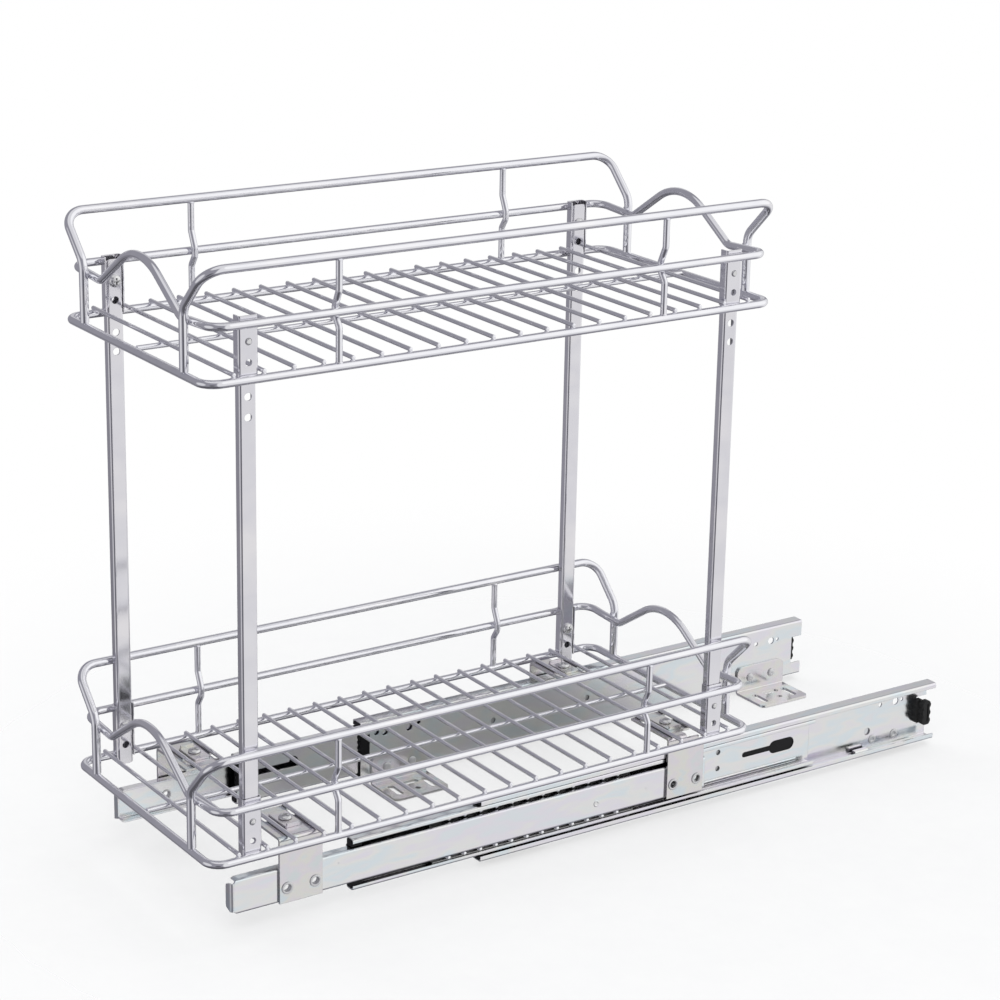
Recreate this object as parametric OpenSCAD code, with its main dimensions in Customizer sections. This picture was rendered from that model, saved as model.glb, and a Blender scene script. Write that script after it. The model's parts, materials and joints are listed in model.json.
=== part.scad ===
// Pull out cabinet basket: two chrome wire baskets, one above the other, on four channel posts.
// The lower basket is screwed to a pair of full extension ball slides that stand on the
// cabinet floor on four L shaped plates. Millimetres. X is across, Y runs into the cabinet,
// Z is up. The floor is Z = 0 and the assembly is centred on X = 0 and Y = 0 as it stands.

/* [Baskets] */

// Width over the centre lines of the side wires
basket_w = 215; // [170:1:320]
// Length over the centre lines of the end wires
basket_l = 480; // [440:1:520]
// Height of the upper basket's frame above the lower one's
tier_gap = 348.8; // [250:0.1:600]
// Height of the lower frame wire's centre line above the cabinet floor
frame_z = 66; // [64:0.5:90]
// Height of the middle rail above the frame wire
mid_z = 38.5; // [34:0.5:44]
// Height of the top rail above the frame wire
top_z = 77.7; // [70:0.1:110]
// Number of cross wires in each basket floor
cross_count = 20; // [20:1:20]
// Distance from each end wire to the first cross wire
cross_inset = 21.2; // [19:0.1:23]

/* [Wire sizes] */

// Frame wire thickness
frame_wire_d = 6; // [5:0.1:7]
// Middle rail thickness
mid_wire_d = 6; // [5:0.1:7]
// Top rail thickness
top_wire_d = 6.5; // [5:0.1:8]
// Upright wire thickness
upright_d = 4.8; // [4:0.1:5.5]
// Cross wire thickness
cross_wire_d = 3.2; // [2.5:0.1:4]
// Thickness of the long wire under the cross wires
centre_wire_d = 4; // [3:0.1:5]
// Corner radius of the frame wire and of the middle rail
frame_corner_r = 12; // [9:0.5:16]

/* [Basket ends] */

// Distance of the top rail's feet from the middle of the basket
foot_x = 76.5; // [66:0.5:82]
// Height at which the top rail bends outward, above the frame wire
knee_z = 46.5; // [42:0.5:50]
// Bend radius of the top rail
top_bend_r = 15; // [10:0.5:17]
// Distance of the middle rail's low bend from the middle of the basket
dip_x = 61.4; // [55:0.1:66]
// How far the low bend lies under the middle rail's sides
dip_drop = 2.5; // [0:0.1:4]
// Bend radius of that low bend
dip_r = 12; // [8:0.5:14]
// Height of the point where the arch's two flanks would meet, above the frame wire
arch_z = 76; // [62:0.5:82]
// Bend radius of the arch
arch_r = 50; // [30:1:55]

/* [Posts and sockets] */

// Post width
post_w = 12.6; // [11:0.1:15]
// Post depth
post_depth = 6.5; // [6:0.1:8.4]
// Wall of posts and sockets
post_wall = 1; // [0.8:0.1:1.5]
// How far the posts stand from the middle between two cross wires, towards the middle
post_shift = 1.2; // [0:0.1:1.4]
// Clearance between post and socket on each side
post_play = 0.25; // [0.15:0.05:0.35]
// How far a post reaches under its basket's frame wire centre
post_foot = 4.5; // [2:0.5:6]
// How far a post reaches above the upper frame wire centre
post_head = 41.5; // [38:0.5:44]
// Socket height
socket_h = 42.5; // [38:0.5:44]
// Height of a post screw above the frame wire
screw_z = 25.5; // [22:0.5:28]
// Distance between the two holes of a pair
pair_pitch = 14.5; // [12:0.5:16]
// Distance between pairs of holes
pair_step = 38.5; // [34:0.5:42]
// Post hole diameter
post_hole_d = 5.6; // [5.2:0.1:6.2]
// Post screw shank diameter
screw_d = 4.8; // [3.8:0.1:5]
// Post screw head height
screw_head_h = 3.2; // [2.4:0.1:3.6]

/* [Slides] */

// How far the carriage stands drawn out
drawn_out = 199; // [120:1:230]
// Length of the fixed member
outer_len = 460; // [450:1:480]
// Length of the middle member
middle_len = 440; // [436:1:450]
// Length of the member that carries the baskets
inner_len = 424; // [420:1:430]
// Distance from the basket's front wire back to the inner member's front end
inner_front = 23; // [18:1:30]
// How far the fixed member's front end lies behind the closed inner member's
outer_lag = 12; // [8:0.5:14]
// Height of the slide's middle under the lower frame wire
slide_drop = 35; // [34:0.5:36]
// Distance from the side wire's centre line in to the slide's outer face
slide_inset = 12.8; // [12.5:0.1:14]
// Slide thickness
slide_t = 12.7; // [12.5:0.1:13]
// Fixed member height
outer_h = 50.5; // [49.5:0.1:51]
// Middle member height
middle_h = 41; // [40:0.1:42]
// Inner member height
inner_h = 27; // [26:0.1:28]
// Sheet thickness of the three members
slide_wall = 1.2; // [1:0.1:1.3]
// Height of the lips on the fixed member
outer_lip = 4.4; // [3:0.1:4.4]
// Height of the lips on the middle member
middle_lip = 3.5; // [2.5:0.1:3.5]
// Clearance between a ball and each of its two tracks
ball_play = 0.08; // [0.05:0.01:0.12]
// Distance between balls
ball_pitch = 14.2; // [13:0.1:16]
// Balls in each row
ball_count = 12; // [6:1:12]
// Ball cage sheet thickness
cage_t = 0.6; // [0.5:0.05:0.7]

/* [Plates and clamps] */

// Distance from the fixed member's front end to the front floor plate's middle
front_plate_y = 35.5; // [32:0.5:60]
// Distance from the fixed member's rear end to the rear floor plate's middle
rear_plate_y = 47; // [45:0.5:80]
// Floor plate width along the slide
floor_plate_w = 52; // [48:0.5:56]
// Floor plate height
floor_plate_h = 25; // [22:0.5:28]
// How far a floor plate reaches in from the slide
floor_plate_reach = 38.5; // [34:0.5:44]
// Floor plate thickness
floor_plate_t = 2; // [1.5:0.1:2.5]
// Distance between the two cross slots of a floor plate
slot_pitch = 32; // [28:0.5:34]
// Distance from the slide to the middle of a cross slot
slot_in = 22.5; // [20:0.5:25]
// Length of a cross slot
slot_len = 19; // [14:0.5:22]
// Width of a floor plate slot
slot_w = 5.6; // [4.8:0.1:6.4]
// Thickness of the plates that carry the basket
carrier_t = 2; // [1.5:0.1:2.5]
// How far those plates reach in under the cross wires
carrier_reach = 50; // [44:0.5:56]
// Height of the eyelets above the inner member's lower edge
eyelet_z = 11.6; // [9:0.1:14]
// Eyelet bore
eyelet_bore = 5.2; // [4:0.1:5.4]
// Distance from the slide's outer face in to a clamp screw
clamp_in = 24.2; // [20:0.1:28]
// Clamp width along the slide
clamp_w = 14; // [10:0.5:15]
// Clamp length across the slide
clamp_len = 26; // [20:0.5:30]

/* [Hidden] */

$fn = 64;
eps = 0.01;
weld_gap = 0.05;
hole_play = 0.2;
bend_thin = 0.06;
bend_lap = 0.2;

half_w = basket_w / 2;
cross_pitch = (basket_l - 2 * cross_inset) / (cross_count - 1);
cross_z = (frame_wire_d + cross_wire_d) / 2 + weld_gap;
mid_y = (top_wire_d + mid_wire_d) / 2 + weld_gap;
socket_w = post_w + 2 * post_play + 2 * post_wall;
socket_x = half_w - frame_wire_d / 2 - weld_gap;
socket_depth = post_depth + 1;
socket_foot = 1;
post_x = socket_x - post_wall - 0.45;
head_play = 0.5;
screw_head_d = post_w - 2 * (post_wall + head_play);

slide_face = half_w - slide_inset;
slide_z = frame_z - slide_drop;
slide_x = slide_face - slide_t;
outer_half = outer_h / 2;
middle_half = middle_h / 2;
inner_half = inner_h / 2;
outer_depth = slide_t - 0.5;
middle_in = 2 * slide_wall;
middle_out = outer_depth - 0.8;
inner_in = 5;
outer_ball_d = outer_half - slide_wall - middle_half - 2 * ball_play;
outer_ball_z = (outer_half - slide_wall + middle_half) / 2;
outer_ball_x = 6.5;
inner_ball_d = middle_half - slide_wall - inner_half - 2 * ball_play;
inner_ball_z = (middle_half - slide_wall + inner_half) / 2;
inner_ball_x = 7.2;
cage_len = (ball_count - 1) * ball_pitch + 30;
clamp_room = 20;
outer_cage_y = 70;
inner_cage_y = 70;

// The rear end of the fixed members is the rearmost point, the top rail the foremost one.
fixed_front = inner_front + drawn_out + outer_lag;
fixed_rear = fixed_front + outer_len;
front_y = -(fixed_rear - top_wire_d / 2) / 2;
outer_y = front_y + fixed_front;
inner_y = front_y + inner_front;
middle_y = inner_y + drawn_out / 2;

function wire_y(i) = front_y + cross_inset + (i - 1) * cross_pitch;
function between(i) = wire_y(i) + cross_pitch / 2;

// The rear clamp is in the last gap that leaves room for its plate, on the inner member and
// before the basket's rear end
clamp_gap = min(cross_count - 2,
    floor((inner_front + inner_len - clamp_room - cross_inset) / cross_pitch + 0.5));

post_front_y = between(1) + post_shift;
post_rear_y = between(cross_count - 1) - post_shift;
clamp_front_y = between(3);
clamp_rear_y = between(clamp_gap);
plate_front_y = outer_y + front_plate_y;
plate_rear_y = outer_y + outer_len - rear_plate_y;
upper_z = frame_z + tier_gap;
lower_z = frame_z;

// Name of one node, or "all"

// ---------------------------------------------------------------- bent wire

function unit(v) = v / norm(v);
function turn(a, b, c) = acos(unit(b - a) * unit(c - b));
function setback(a, b, c, r) = r * tan(turn(a, b, c) / 2);
function side_of(v) = unit(cross(v, abs(v[2]) < 0.9 * norm(v) ? [0, 0, 1] : [1, 0, 0]));

// Places a child drawn along Z at point p so that it runs along v
module aim(p, v) {
    z = unit(v);
    x = side_of(v);
    y = cross(z, x);
    multmatrix([
        [x[0], y[0], z[0], p[0]],
        [x[1], y[1], z[1], p[1]],
        [x[2], y[2], z[2], p[2]],
        [0, 0, 0, 1]
    ]) children();
}

// A straight run from a to b
module run(a, b, d) {
    aim(a, b - a) cylinder(h = norm(b - a), d = d);
}

// The bend at b of a wire coming from a and going on to c. Bending thins a wire a little, and
// the straight runs lap into the bend's ends.
module elbow(a, b, c, r, d) {
    d1 = unit(b - a);
    d2 = unit(c - b);
    n = unit(d2 - d1 * (d1 * d2));
    o = b - d1 * setback(a, b, c, r) + n * r;
    z = cross(-n, d1);
    multmatrix([
        [-n[0], d1[0], z[0], o[0]],
        [-n[1], d1[1], z[1], o[1]],
        [-n[2], d1[2], z[2], o[2]],
        [0, 0, 0, 1]
    ]) rotate_extrude(angle = turn(a, b, c)) translate([r, 0]) circle(d = d - bend_thin);
}

// A wire through the points p with a bend of radius r[i] at p[i]; a closed wire returns to p[0]
module bent_wire(p, r, d, closed = false) {
    n = len(p);
    back = [for (i = [0 : n - 1])
        !closed && (i == 0 || i == n - 1) ? 0
            : setback(p[(i + n - 1) % n], p[i], p[(i + 1) % n], r[i]) - bend_lap];
    union() {
        for (i = [0 : n - (closed ? 1 : 2)]) {
            j = (i + 1) % n;
            v = unit(p[j] - p[i]);
            run(p[i] + v * back[i], p[j] - v * back[j], d);
        }
        for (i = [closed ? 0 : 1 : n - (closed ? 1 : 2)])
            elbow(p[(i + n - 1) % n], p[i], p[(i + 1) % n], r[i], d);
    }
}

// ---------------------------------------------------------------- helpers

// Draws children for the right side, or mirrored for the left one
module on_side(s) {
    if (s > 0) children();
    else mirror([1, 0, 0]) children();
}

// Runs a section drawn as (X, Z) from y0 to y1
module along_y(y0, y1) {
    translate([0, y1, 0]) rotate([90, 0, 0]) linear_extrude(height = y1 - y0) children();
}

// A rectangle with round corners between two corner points
module round_rect(a, b, r) {
    translate([a[0] + r, a[1]]) square([b[0] - a[0] - 2 * r, b[1] - a[1]]);
    translate([a[0], a[1] + r]) square([b[0] - a[0], b[1] - a[1] - 2 * r]);
    for (x = [a[0] + r, b[0] - r])
        for (y = [a[1] + r, b[1] - r])
            translate([x, y]) circle(r = r);
}

// A slot with round ends, centred, along the drawing's X
module slot_2d(length, width) {
    square([length - width, width], center = true);
    for (x = [-1, 1]) translate([x * (length - width) / 2, 0]) circle(d = width);
}

// A round cutter along X from x0 to x1
module bore_x(x0, x1, y, z, d) {
    translate([x0, y, z]) rotate([0, 90, 0]) cylinder(h = x1 - x0, d = d);
}

// A cutter along X from x0 to x1 that rounds a sheet's corner at (y, z). The sheet lies on the
// side away from ty and tz.
module corner_cut(x0, x1, y, z, ty, tz, r) {
    translate([x0, y, z]) rotate([90, 0, 90]) linear_extrude(height = x1 - x0) difference() {
        translate([ty > 0 ? -r : -1, tz > 0 ? -r : -1]) square(r + 1);
        translate([-ty * r, -tz * r]) circle(r = r);
    }
}

// A pan head that stands on Z = 0
module pan_head(d, h) {
    r = (d * d / 4 + h * h / 4.6) / h;
    rotate_extrude() intersection() {
        square([d / 2, h]);
        translate([0, h - r]) circle(r = r);
    }
}

// ---------------------------------------------------------------- baskets

module frame_wire(z) {
    p = [[half_w, front_y, z], [-half_w, front_y, z],
        [-half_w, front_y + basket_l, z], [half_w, front_y + basket_l, z]];
    bent_wire(p, [for (i = p) frame_corner_r], frame_wire_d, true);
}

module cross_wires(z) {
    for (i = [1 : cross_count])
        translate([-half_w, wire_y(i), z + cross_z]) rotate([0, 90, 0])
            cylinder(h = basket_w, d = cross_wire_d);
}

module centre_wire(z) {
    y0 = front_y + frame_wire_d / 2 + weld_gap;
    y1 = front_y + basket_l - frame_wire_d / 2 - weld_gap;
    run([0, y0, z + cross_z - (cross_wire_d + centre_wire_d) / 2 - weld_gap],
        [0, y1, z + cross_z - (cross_wire_d + centre_wire_d) / 2 - weld_gap], centre_wire_d);
}

// The points of the middle rail at one end, from the right side to the left
function mid_end(y, z) = [[half_w, y, z + mid_z], [dip_x, y, z + mid_z - dip_drop],
    [0, y, z + arch_z], [-dip_x, y, z + mid_z - dip_drop], [-half_w, y, z + mid_z]];

module mid_rail(z) {
    a = mid_end(front_y + mid_y, z);
    b = mid_end(front_y + basket_l - mid_y, z);
    bends = [frame_corner_r, dip_r, arch_r, dip_r, frame_corner_r];
    bent_wire(concat(a, [for (i = [4 : -1 : 0]) b[i]]), concat(bends, bends), mid_wire_d, true);
}

module top_rail(s, z) {
    foot = z + frame_wire_d / 2 + weld_gap;
    y1 = front_y + basket_l;
    bent_wire([
        [s * foot_x, front_y, foot],
        [s * foot_x, front_y, z + knee_z],
        [s * half_w, front_y, z + top_z],
        [s * half_w, y1, z + top_z],
        [s * foot_x, y1, z + knee_z],
        [s * foot_x, y1, foot]
    ], [0, top_bend_r, top_bend_r, top_bend_r, top_bend_r, 0], top_wire_d);
}

// Each upright steps inward round the inner side of the middle rail
module upright_wires(z) {
    step = (mid_wire_d + upright_d) / 2 + weld_gap;
    z0 = z + frame_wire_d / 2 + weld_gap;
    z1 = z + top_z - top_wire_d / 2 - weld_gap;
    for (s = [-1, 1])
        for (y = [between(4), between(cross_count - 4)])
            bent_wire([
                [s * half_w, y, z0],
                [s * half_w, y, z + mid_z - 11],
                [s * (half_w - step), y, z + mid_z - 3],
                [s * (half_w - step), y, z + mid_z + 3],
                [s * half_w, y, z + mid_z + 15],
                [s * half_w, y, z1]
            ], [0, 5, 5, 5, 5, 0], upright_d);
}

// Section of a channel with its web at x1 and its open side at x0
module channel_2d(x0, x1, y, w) {
    difference() {
        round_rect([x0 - 4, y - w / 2], [x1, y + w / 2], 2);
        round_rect([x0 - 6, y - w / 2 + post_wall], [x1 - post_wall, y + w / 2 - post_wall], 0.6);
        translate([x0 - 8, y - w]) square([8, 2 * w]);
    }
}

module post_socket(y, z) {
    difference() {
        translate([0, 0, z + socket_foot]) linear_extrude(height = socket_h)
            channel_2d(socket_x - socket_depth, socket_x, y, socket_w);
        for (h = [screw_z, screw_z - pair_pitch])
            bore_x(socket_x - 3, socket_x + 1, y, z + h, screw_d + hole_play);
    }
}

module post_sockets(z) {
    for (s = [-1, 1])
        for (y = [post_front_y, post_rear_y])
            on_side(s) post_socket(y, z);
}

// A channel post. The webs of all four face the same way, toward +X: against the socket's base
// on the right, away from it on the left.
module post(s, y) {
    x1 = s > 0 ? post_x : post_depth - post_x;
    x0 = x1 - post_depth;
    z0 = lower_z - post_foot;
    z1 = upper_z + post_head;
    difference() {
        translate([0, 0, z0]) linear_extrude(height = z1 - z0) channel_2d(x0, x1, y, post_w);
        for (z = [lower_z, upper_z, upper_z - pair_step])
            for (h = [screw_z, screw_z - pair_pitch])
                bore_x(x1 - post_wall - 1, x1 + 1, y, z + h, post_hole_d);
        // The flanges end short of the web, and the web's corners are round
        for (z = [z0 - 1, z1 - 3.5])
            translate([x0 - 1, y - post_w, z])
                cube([post_depth - post_wall + 0.2, 2 * post_w, 4.5]);
        for (ty = [-1, 1]) {
            corner_cut(x0, x1 + 1, y + ty * post_w / 2, z0, ty, -1, 3);
            corner_cut(x0, x1 + 1, y + ty * post_w / 2, z1, ty, 1, 3);
        }
    }
}

// A screw's head is on the inner face of the post's web
module post_screws(z) {
    for (s = [-1, 1])
        for (y = [post_front_y, post_rear_y])
            on_side(s) {
                seat = (s > 0 ? post_x - post_wall : post_x - post_depth) - weld_gap;
                bore_x(seat - eps, socket_x + 1, y, z + screw_z, screw_d);
                translate([seat, y, z + screw_z]) rotate([0, -90, 0])
                    pan_head(screw_head_d, screw_head_h);
            }
}

// ---------------------------------------------------------------- slides

// Half sections are drawn with X from the slide's inner side and Y from its middle

module outer_section() {
    difference() {
        round_rect([0, -outer_half], [outer_depth, outer_half], 1.8);
        round_rect([slide_wall, -outer_half + slide_wall],
            [outer_depth - slide_wall, outer_half - slide_wall], 0.6);
        translate([outer_depth - slide_wall - 1, -outer_half + outer_lip])
            square([slide_wall + 2, outer_h - 2 * outer_lip]);
    }
}

module middle_section() {
    difference() {
        round_rect([middle_in, -middle_half], [middle_out, middle_half], 2);
        round_rect([middle_in + slide_wall, -middle_half + slide_wall],
            [middle_out - slide_wall, middle_half - slide_wall], 0.8);
        translate([middle_out - slide_wall - 1, -middle_half + middle_lip])
            square([slide_wall + 2, middle_h - 2 * middle_lip]);
    }
}

module inner_section() {
    difference() {
        round_rect([inner_in - 5, -inner_half], [slide_t, inner_half], 2.2);
        round_rect([inner_in - 7, -inner_half + slide_wall],
            [slide_t - slide_wall, inner_half - slide_wall], 1);
        translate([inner_in - 8, -inner_half - 1]) square([8, inner_h + 2]);
    }
}

// Places a slide section in the part, from y0 to y1
module slide_run(y0, y1) {
    translate([slide_x, 0, slide_z]) along_y(y0, y1) children();
}

bumper_notch = 11;
bumper_lo = -14;
bumper_hi = 11;
bumper_h = 21;
bumper_z = -0.5;
tongue_len = 8.5;
tongue_lo = -4.5;
tongue_hi = 14;

// Notch in the front edge of a member's web, for the tongue of its front stop
module tongue_notch(x, y) {
    translate([x - 1, y - 1, slide_z + tongue_lo])
        cube([slide_wall + 1.5, tongue_len + 1, tongue_hi - tongue_lo]);
}

module outer_member(s) {
    x = slide_x;
    on_side(s) difference() {
        slide_run(outer_y, outer_y + outer_len) outer_section();
        // Notch at the rubber bumper
        translate([x - 1, outer_y + outer_len - bumper_notch, slide_z + bumper_lo])
            cube([slide_wall + 1.5, bumper_notch + 1, bumper_hi - bumper_lo]);
        tongue_notch(x, outer_y);
        // Screw holes, rear then front
        for (p = [[65, -9, 6.5], [52, 12.3, 4], [35, 12.2, 6.5], [28, 12.5, 3.5]])
            bore_x(x - 1, x + slide_wall + 1, outer_y + outer_len - p[0], slide_z + p[1], p[2]);
        for (p = [[15, 14, 5], [23, 13, 6.5], [46, 12, 6.5], [55, 14.5, 3.5], [128, 0, 5], [224, 0, 5]])
            bore_x(x - 1, x + slide_wall + 1, outer_y + p[0], slide_z + p[1], p[2]);
        // Rivet holes of the floor plates
        for (y = [plate_front_y, plate_rear_y])
            for (t = [-rivet_y, rivet_y])
                bore_x(x - 1, x + slide_wall + 1, y + t, rivet_z, rivet_d + hole_play);
    }
}

module middle_member(s) {
    x = slide_x + middle_in;
    rear = middle_y + middle_len;
    on_side(s) difference() {
        slide_run(middle_y, rear) middle_section();
        tongue_notch(x, middle_y);
        // Latch slot near the rear end, wide at its rear, and a pair of holes in front of it
        translate([x + slide_wall + 1, rear - 43, slide_z + 1]) rotate([0, -90, 0])
            linear_extrude(height = slide_wall + 2) union() {
                rotate(90) slot_2d(54, 4.5);
                translate([0, 14]) rotate(90) slot_2d(26, 11);
            }
        for (z = [9.2, -4.9]) bore_x(x - 1, x + slide_wall + 1, rear - 95, slide_z + z, 4.5);
        // Slot near the front end that hooks upward at its rear
        translate([x + slide_wall + 1, middle_y + 36, slide_z + 3]) rotate([0, -90, 0])
            linear_extrude(height = slide_wall + 2) union() {
                rotate(90) slot_2d(42, 5);
                translate([2.5, 15]) circle(d = 8);
            }
    }
}

module inner_member(s) {
    on_side(s) difference() {
        slide_run(inner_y, inner_y + inner_len) inner_section();
        for (y = eyelet_ys) bore_x(slide_face - slide_wall - 1, slide_face + 1, y,
            slide_z - inner_half + eyelet_z, eyelet_d + hole_play);
        // Round the front corners of the web
        for (t = [-1, 1])
            corner_cut(slide_x + inner_in - 1, slide_face + 1, inner_y, slide_z + t * inner_half,
                -1, t, 5);
    }
}

// A cage strip with a row of balls at top and bottom
module ball_cage(y, ball_x, ball_z, ball_d, x0, reach) {
    first = y + (cage_len - (ball_count - 1) * ball_pitch) / 2;
    difference() {
        slide_run(y, y + cage_len) difference() {
            translate([x0, -ball_z - cage_t / 2]) square([reach, 2 * ball_z + cage_t]);
            translate([x0 + cage_t, -ball_z + cage_t / 2])
                square([reach, 2 * ball_z - cage_t]);
        }
        for (i = [0 : ball_count - 1])
            for (t = [-1, 1])
                translate([slide_x + ball_x, first + i * ball_pitch, slide_z + t * ball_z - 3])
                    cylinder(h = 6, d = ball_d + hole_play);
    }
    for (i = [0 : ball_count - 1])
        for (t = [-1, 1])
            translate([slide_x + ball_x, first + i * ball_pitch, slide_z + t * ball_z])
                sphere(d = ball_d);
}

module outer_ball_cage(s) {
    on_side(s) ball_cage(outer_y + outer_cage_y, outer_ball_x, outer_ball_z, outer_ball_d,
        slide_wall + 0.3, 8);
}

module inner_ball_cage(s) {
    on_side(s) ball_cage(middle_y + inner_cage_y, inner_ball_x, inner_ball_z, inner_ball_d,
        middle_in + slide_wall + 0.4, 5.8);
}

// One lobe of a rear bumper, its front and rear faces with three bulges each
module bumper_lobe(x0, x1, y0, y1) {
    r = bumper_h / 6 - 0.1;
    translate([x0, 0, slide_z + bumper_z]) rotate([90, 0, 90]) linear_extrude(height = x1 - x0) {
        round_rect([y0 + 1, -bumper_h / 2], [y1 - 1, bumper_h / 2], 1.2);
        for (y = [y0 + r, y1 - r])
            for (t = [-1, 0, 1]) translate([y, t * bumper_h / 3]) circle(r = r);
    }
}

// Rubber block behind the notch at the rear of the fixed member: two lobes, the outer one
// further back, with a neck between them
module rear_bumper(s) {
    rear = outer_y + outer_len;
    x0 = slide_x + slide_wall + weld_gap;
    x1 = slide_x + outer_depth - 0.2;
    on_side(s) difference() {
        union() {
            bumper_lobe(x0, x0 + 4, rear - 15, rear - 7.2);
            translate([x0 + 3, rear - 12, slide_z + bumper_z - bumper_h / 2 + 1.5])
                cube([3, 4, bumper_h - 3]);
            bumper_lobe(x0 + 5.2, x1, rear - 12.8, rear - 4);
        }
        // Slot in the outer face
        translate([x1 - 2, rear - 8, slide_z + bumper_z - 8]) cube([3, 1.4, 16]);
    }
}

// Plastic stop inside a member's front end: the section drawn as a child lines the channel, and
// a tongue with a scalloped edge fills the web's notch
module front_stop(x, y) {
    z0 = slide_z + tongue_lo + weld_gap;
    h = tongue_hi - tongue_lo - 2 * weld_gap;
    difference() {
        union() {
            slide_run(y - 0.6, y + tongue_len) children();
            translate([x, y - 0.6, z0]) cube([slide_wall + 0.4, tongue_len + 0.6 - weld_gap, h]);
        }
        for (t = [-4.6, 0, 4.6]) bore_x(x - 1, x + slide_wall + 0.3, y - 1.4, z0 + h / 2 + t, 3);
    }
}

module outer_front_stop(s) {
    on_side(s) front_stop(slide_x, outer_y) difference() {
        round_rect([slide_wall + weld_gap, -outer_half + slide_wall + weld_gap],
            [outer_depth - slide_wall - weld_gap, outer_half - slide_wall - weld_gap], 1.5);
        translate([middle_in - 0.4, -middle_half - 0.5]) square([slide_t, middle_h + 1]);
    }
}

module middle_front_stop(s) {
    on_side(s) front_stop(slide_x + middle_in, middle_y) difference() {
        round_rect([middle_in + slide_wall + weld_gap, -middle_half + slide_wall + weld_gap],
            [middle_out - slide_wall - weld_gap, middle_half - slide_wall - weld_gap], 1);
        translate([inner_in - 0.5, -inner_half - 0.7]) square([slide_t, inner_h + 1.4]);
    }
}

// ---------------------------------------------------------------- plates and clamps

rivet_d = 4;
rivet_y = 12;
rivet_z = 14;
plate_face = slide_x - weld_gap;

// L shaped plate: the leg is riveted to the slide, the flange lies on the cabinet floor
module floor_plate(s, y) {
    t = floor_plate_t;
    w = floor_plate_w;
    foot_in = plate_face - t / 2 - (floor_plate_reach - t / 2);
    on_side(s) difference() {
        intersection() {
            along_y(y - w / 2, y + w / 2) difference() {
                round_rect([foot_in - 8, 0], [plate_face, floor_plate_h + 8], 3);
                round_rect([foot_in - 16, t], [plate_face - t, floor_plate_h + 16], 1);
            }
            translate([0, y - w / 2, 0]) union() {
                // Leg with round upper corners
                translate([plate_face - t - 1, 0, 0]) rotate([90, 0, 90])
                    linear_extrude(height = t + 2) intersection() {
                        round_rect([0, -10], [w, floor_plate_h], 6);
                        square([w, floor_plate_h]);
                    }
                // Flange with round outer corners
                translate([0, 0, -1]) linear_extrude(height = t + 2) intersection() {
                    round_rect([foot_in, 0], [plate_face + 20, w], 5);
                    translate([foot_in, 0]) square([plate_face - foot_in - t + 0.5, w]);
                }
            }
        }
        for (q = [-slot_pitch / 2, slot_pitch / 2])
            translate([slide_x - slot_in, y + q, -1]) linear_extrude(height = t + 2)
                slot_2d(slot_len, slot_w);
        translate([slide_x - 14.6, y + 1.2, -1]) linear_extrude(height = t + 2)
            rotate(90) slot_2d(17.5, slot_w);
        translate([slide_x - 27.5, y + 2, -1]) cylinder(h = t + 2, d = 4.5);
        for (q = [-rivet_y, rivet_y])
            bore_x(plate_face - t - 1, plate_face + 1, y + q, rivet_z, rivet_d + hole_play);
    }
}

module floor_plate_rivets(s) {
    x0 = plate_face - floor_plate_t - weld_gap;
    for (y = [plate_front_y, plate_rear_y])
        for (q = [-rivet_y, rivet_y])
            on_side(s) {
                bore_x(x0 - eps, slide_x + slide_wall - 0.1, y + q, rivet_z, rivet_d);
                translate([x0, y + q, rivet_z]) rotate([0, -90, 0]) pan_head(7.5, 1.3);
                // The rear ones are flared in the channel, where no cage passes
                if (y == plate_rear_y) {
                    bore_x(slide_x, slide_x + slide_wall + weld_gap + 0.3, y + q, rivet_z, rivet_d);
                    bore_x(slide_x + slide_wall + weld_gap, slide_x + slide_wall + weld_gap + 0.6,
                        y + q, rivet_z, 7.6);
                }
            }
}

eyelet_d = 6.4;
eyelet_mid = 1.4;
eyelet_half = 11.6;
eyelet_ys = [
    clamp_front_y - eyelet_mid - eyelet_half, clamp_front_y - eyelet_mid + eyelet_half,
    clamp_rear_y + eyelet_mid - eyelet_half, clamp_rear_y + eyelet_mid + eyelet_half
];
carrier_top = frame_z + cross_z - cross_wire_d / 2 - weld_gap;
carrier_low = slide_z - inner_half;
carrier_x = slide_face + weld_gap;

// Plate on the inner member's face that rises and folds in under two cross wires.
// u is -1 for a front plate and 1 for a rear one.
module carrier_plate(s, u) {
    t = carrier_t;
    yc = u < 0 ? clamp_front_y : clamp_rear_y;
    y0 = yc - (u < 0 ? 19.2 : 16.2);
    y1 = yc + (u < 0 ? 16.2 : 19.2);
    flange_end = yc + 12.4;
    x1 = carrier_x + t;
    x0 = x1 - carrier_reach;
    on_side(s) difference() {
        along_y(y0, y1) intersection() {
            difference() {
                round_rect([x0 - 10, carrier_low - 10], [x1, carrier_top], 3.2);
                round_rect([x0 - 20, carrier_low - 20], [x1 - t, carrier_top - t], 1.2);
            }
            translate([x0, carrier_low]) square([carrier_reach, carrier_top - carrier_low + 1]);
        }
        // The flange is shorter than the leg
        translate([x0 - 1, flange_end, carrier_top - 4.6])
            cube([carrier_reach - t, y1 - flange_end + 1, 6]);
        // Relief beside the rear fold, and room for the foot of the rear post
        if (u > 0) {
            translate([x1 - 11, yc + 2, carrier_top - 3.2]) cube([12, y1 - yc, 5]);
            translate([x1 - t - 4, post_rear_y - socket_w / 2 - 0.6, carrier_top - 10])
                cube([t + 5, 20, 11]);
        }
        for (q = [-cross_pitch / 2, cross_pitch / 2])
            translate([carrier_x - 35, yc + q, carrier_top - t - 1])
                linear_extrude(height = t + 2) slot_2d(13, 5);
        translate([slide_face - clamp_in, yc, carrier_top - t - 1])
            cylinder(h = t + 2, d = clamp_screw_d + hole_play);
        for (y = eyelet_ys)
            bore_x(carrier_x - 1, x1 + 1, y, carrier_low + eyelet_z, eyelet_d + hole_play);
    }
}

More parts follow.
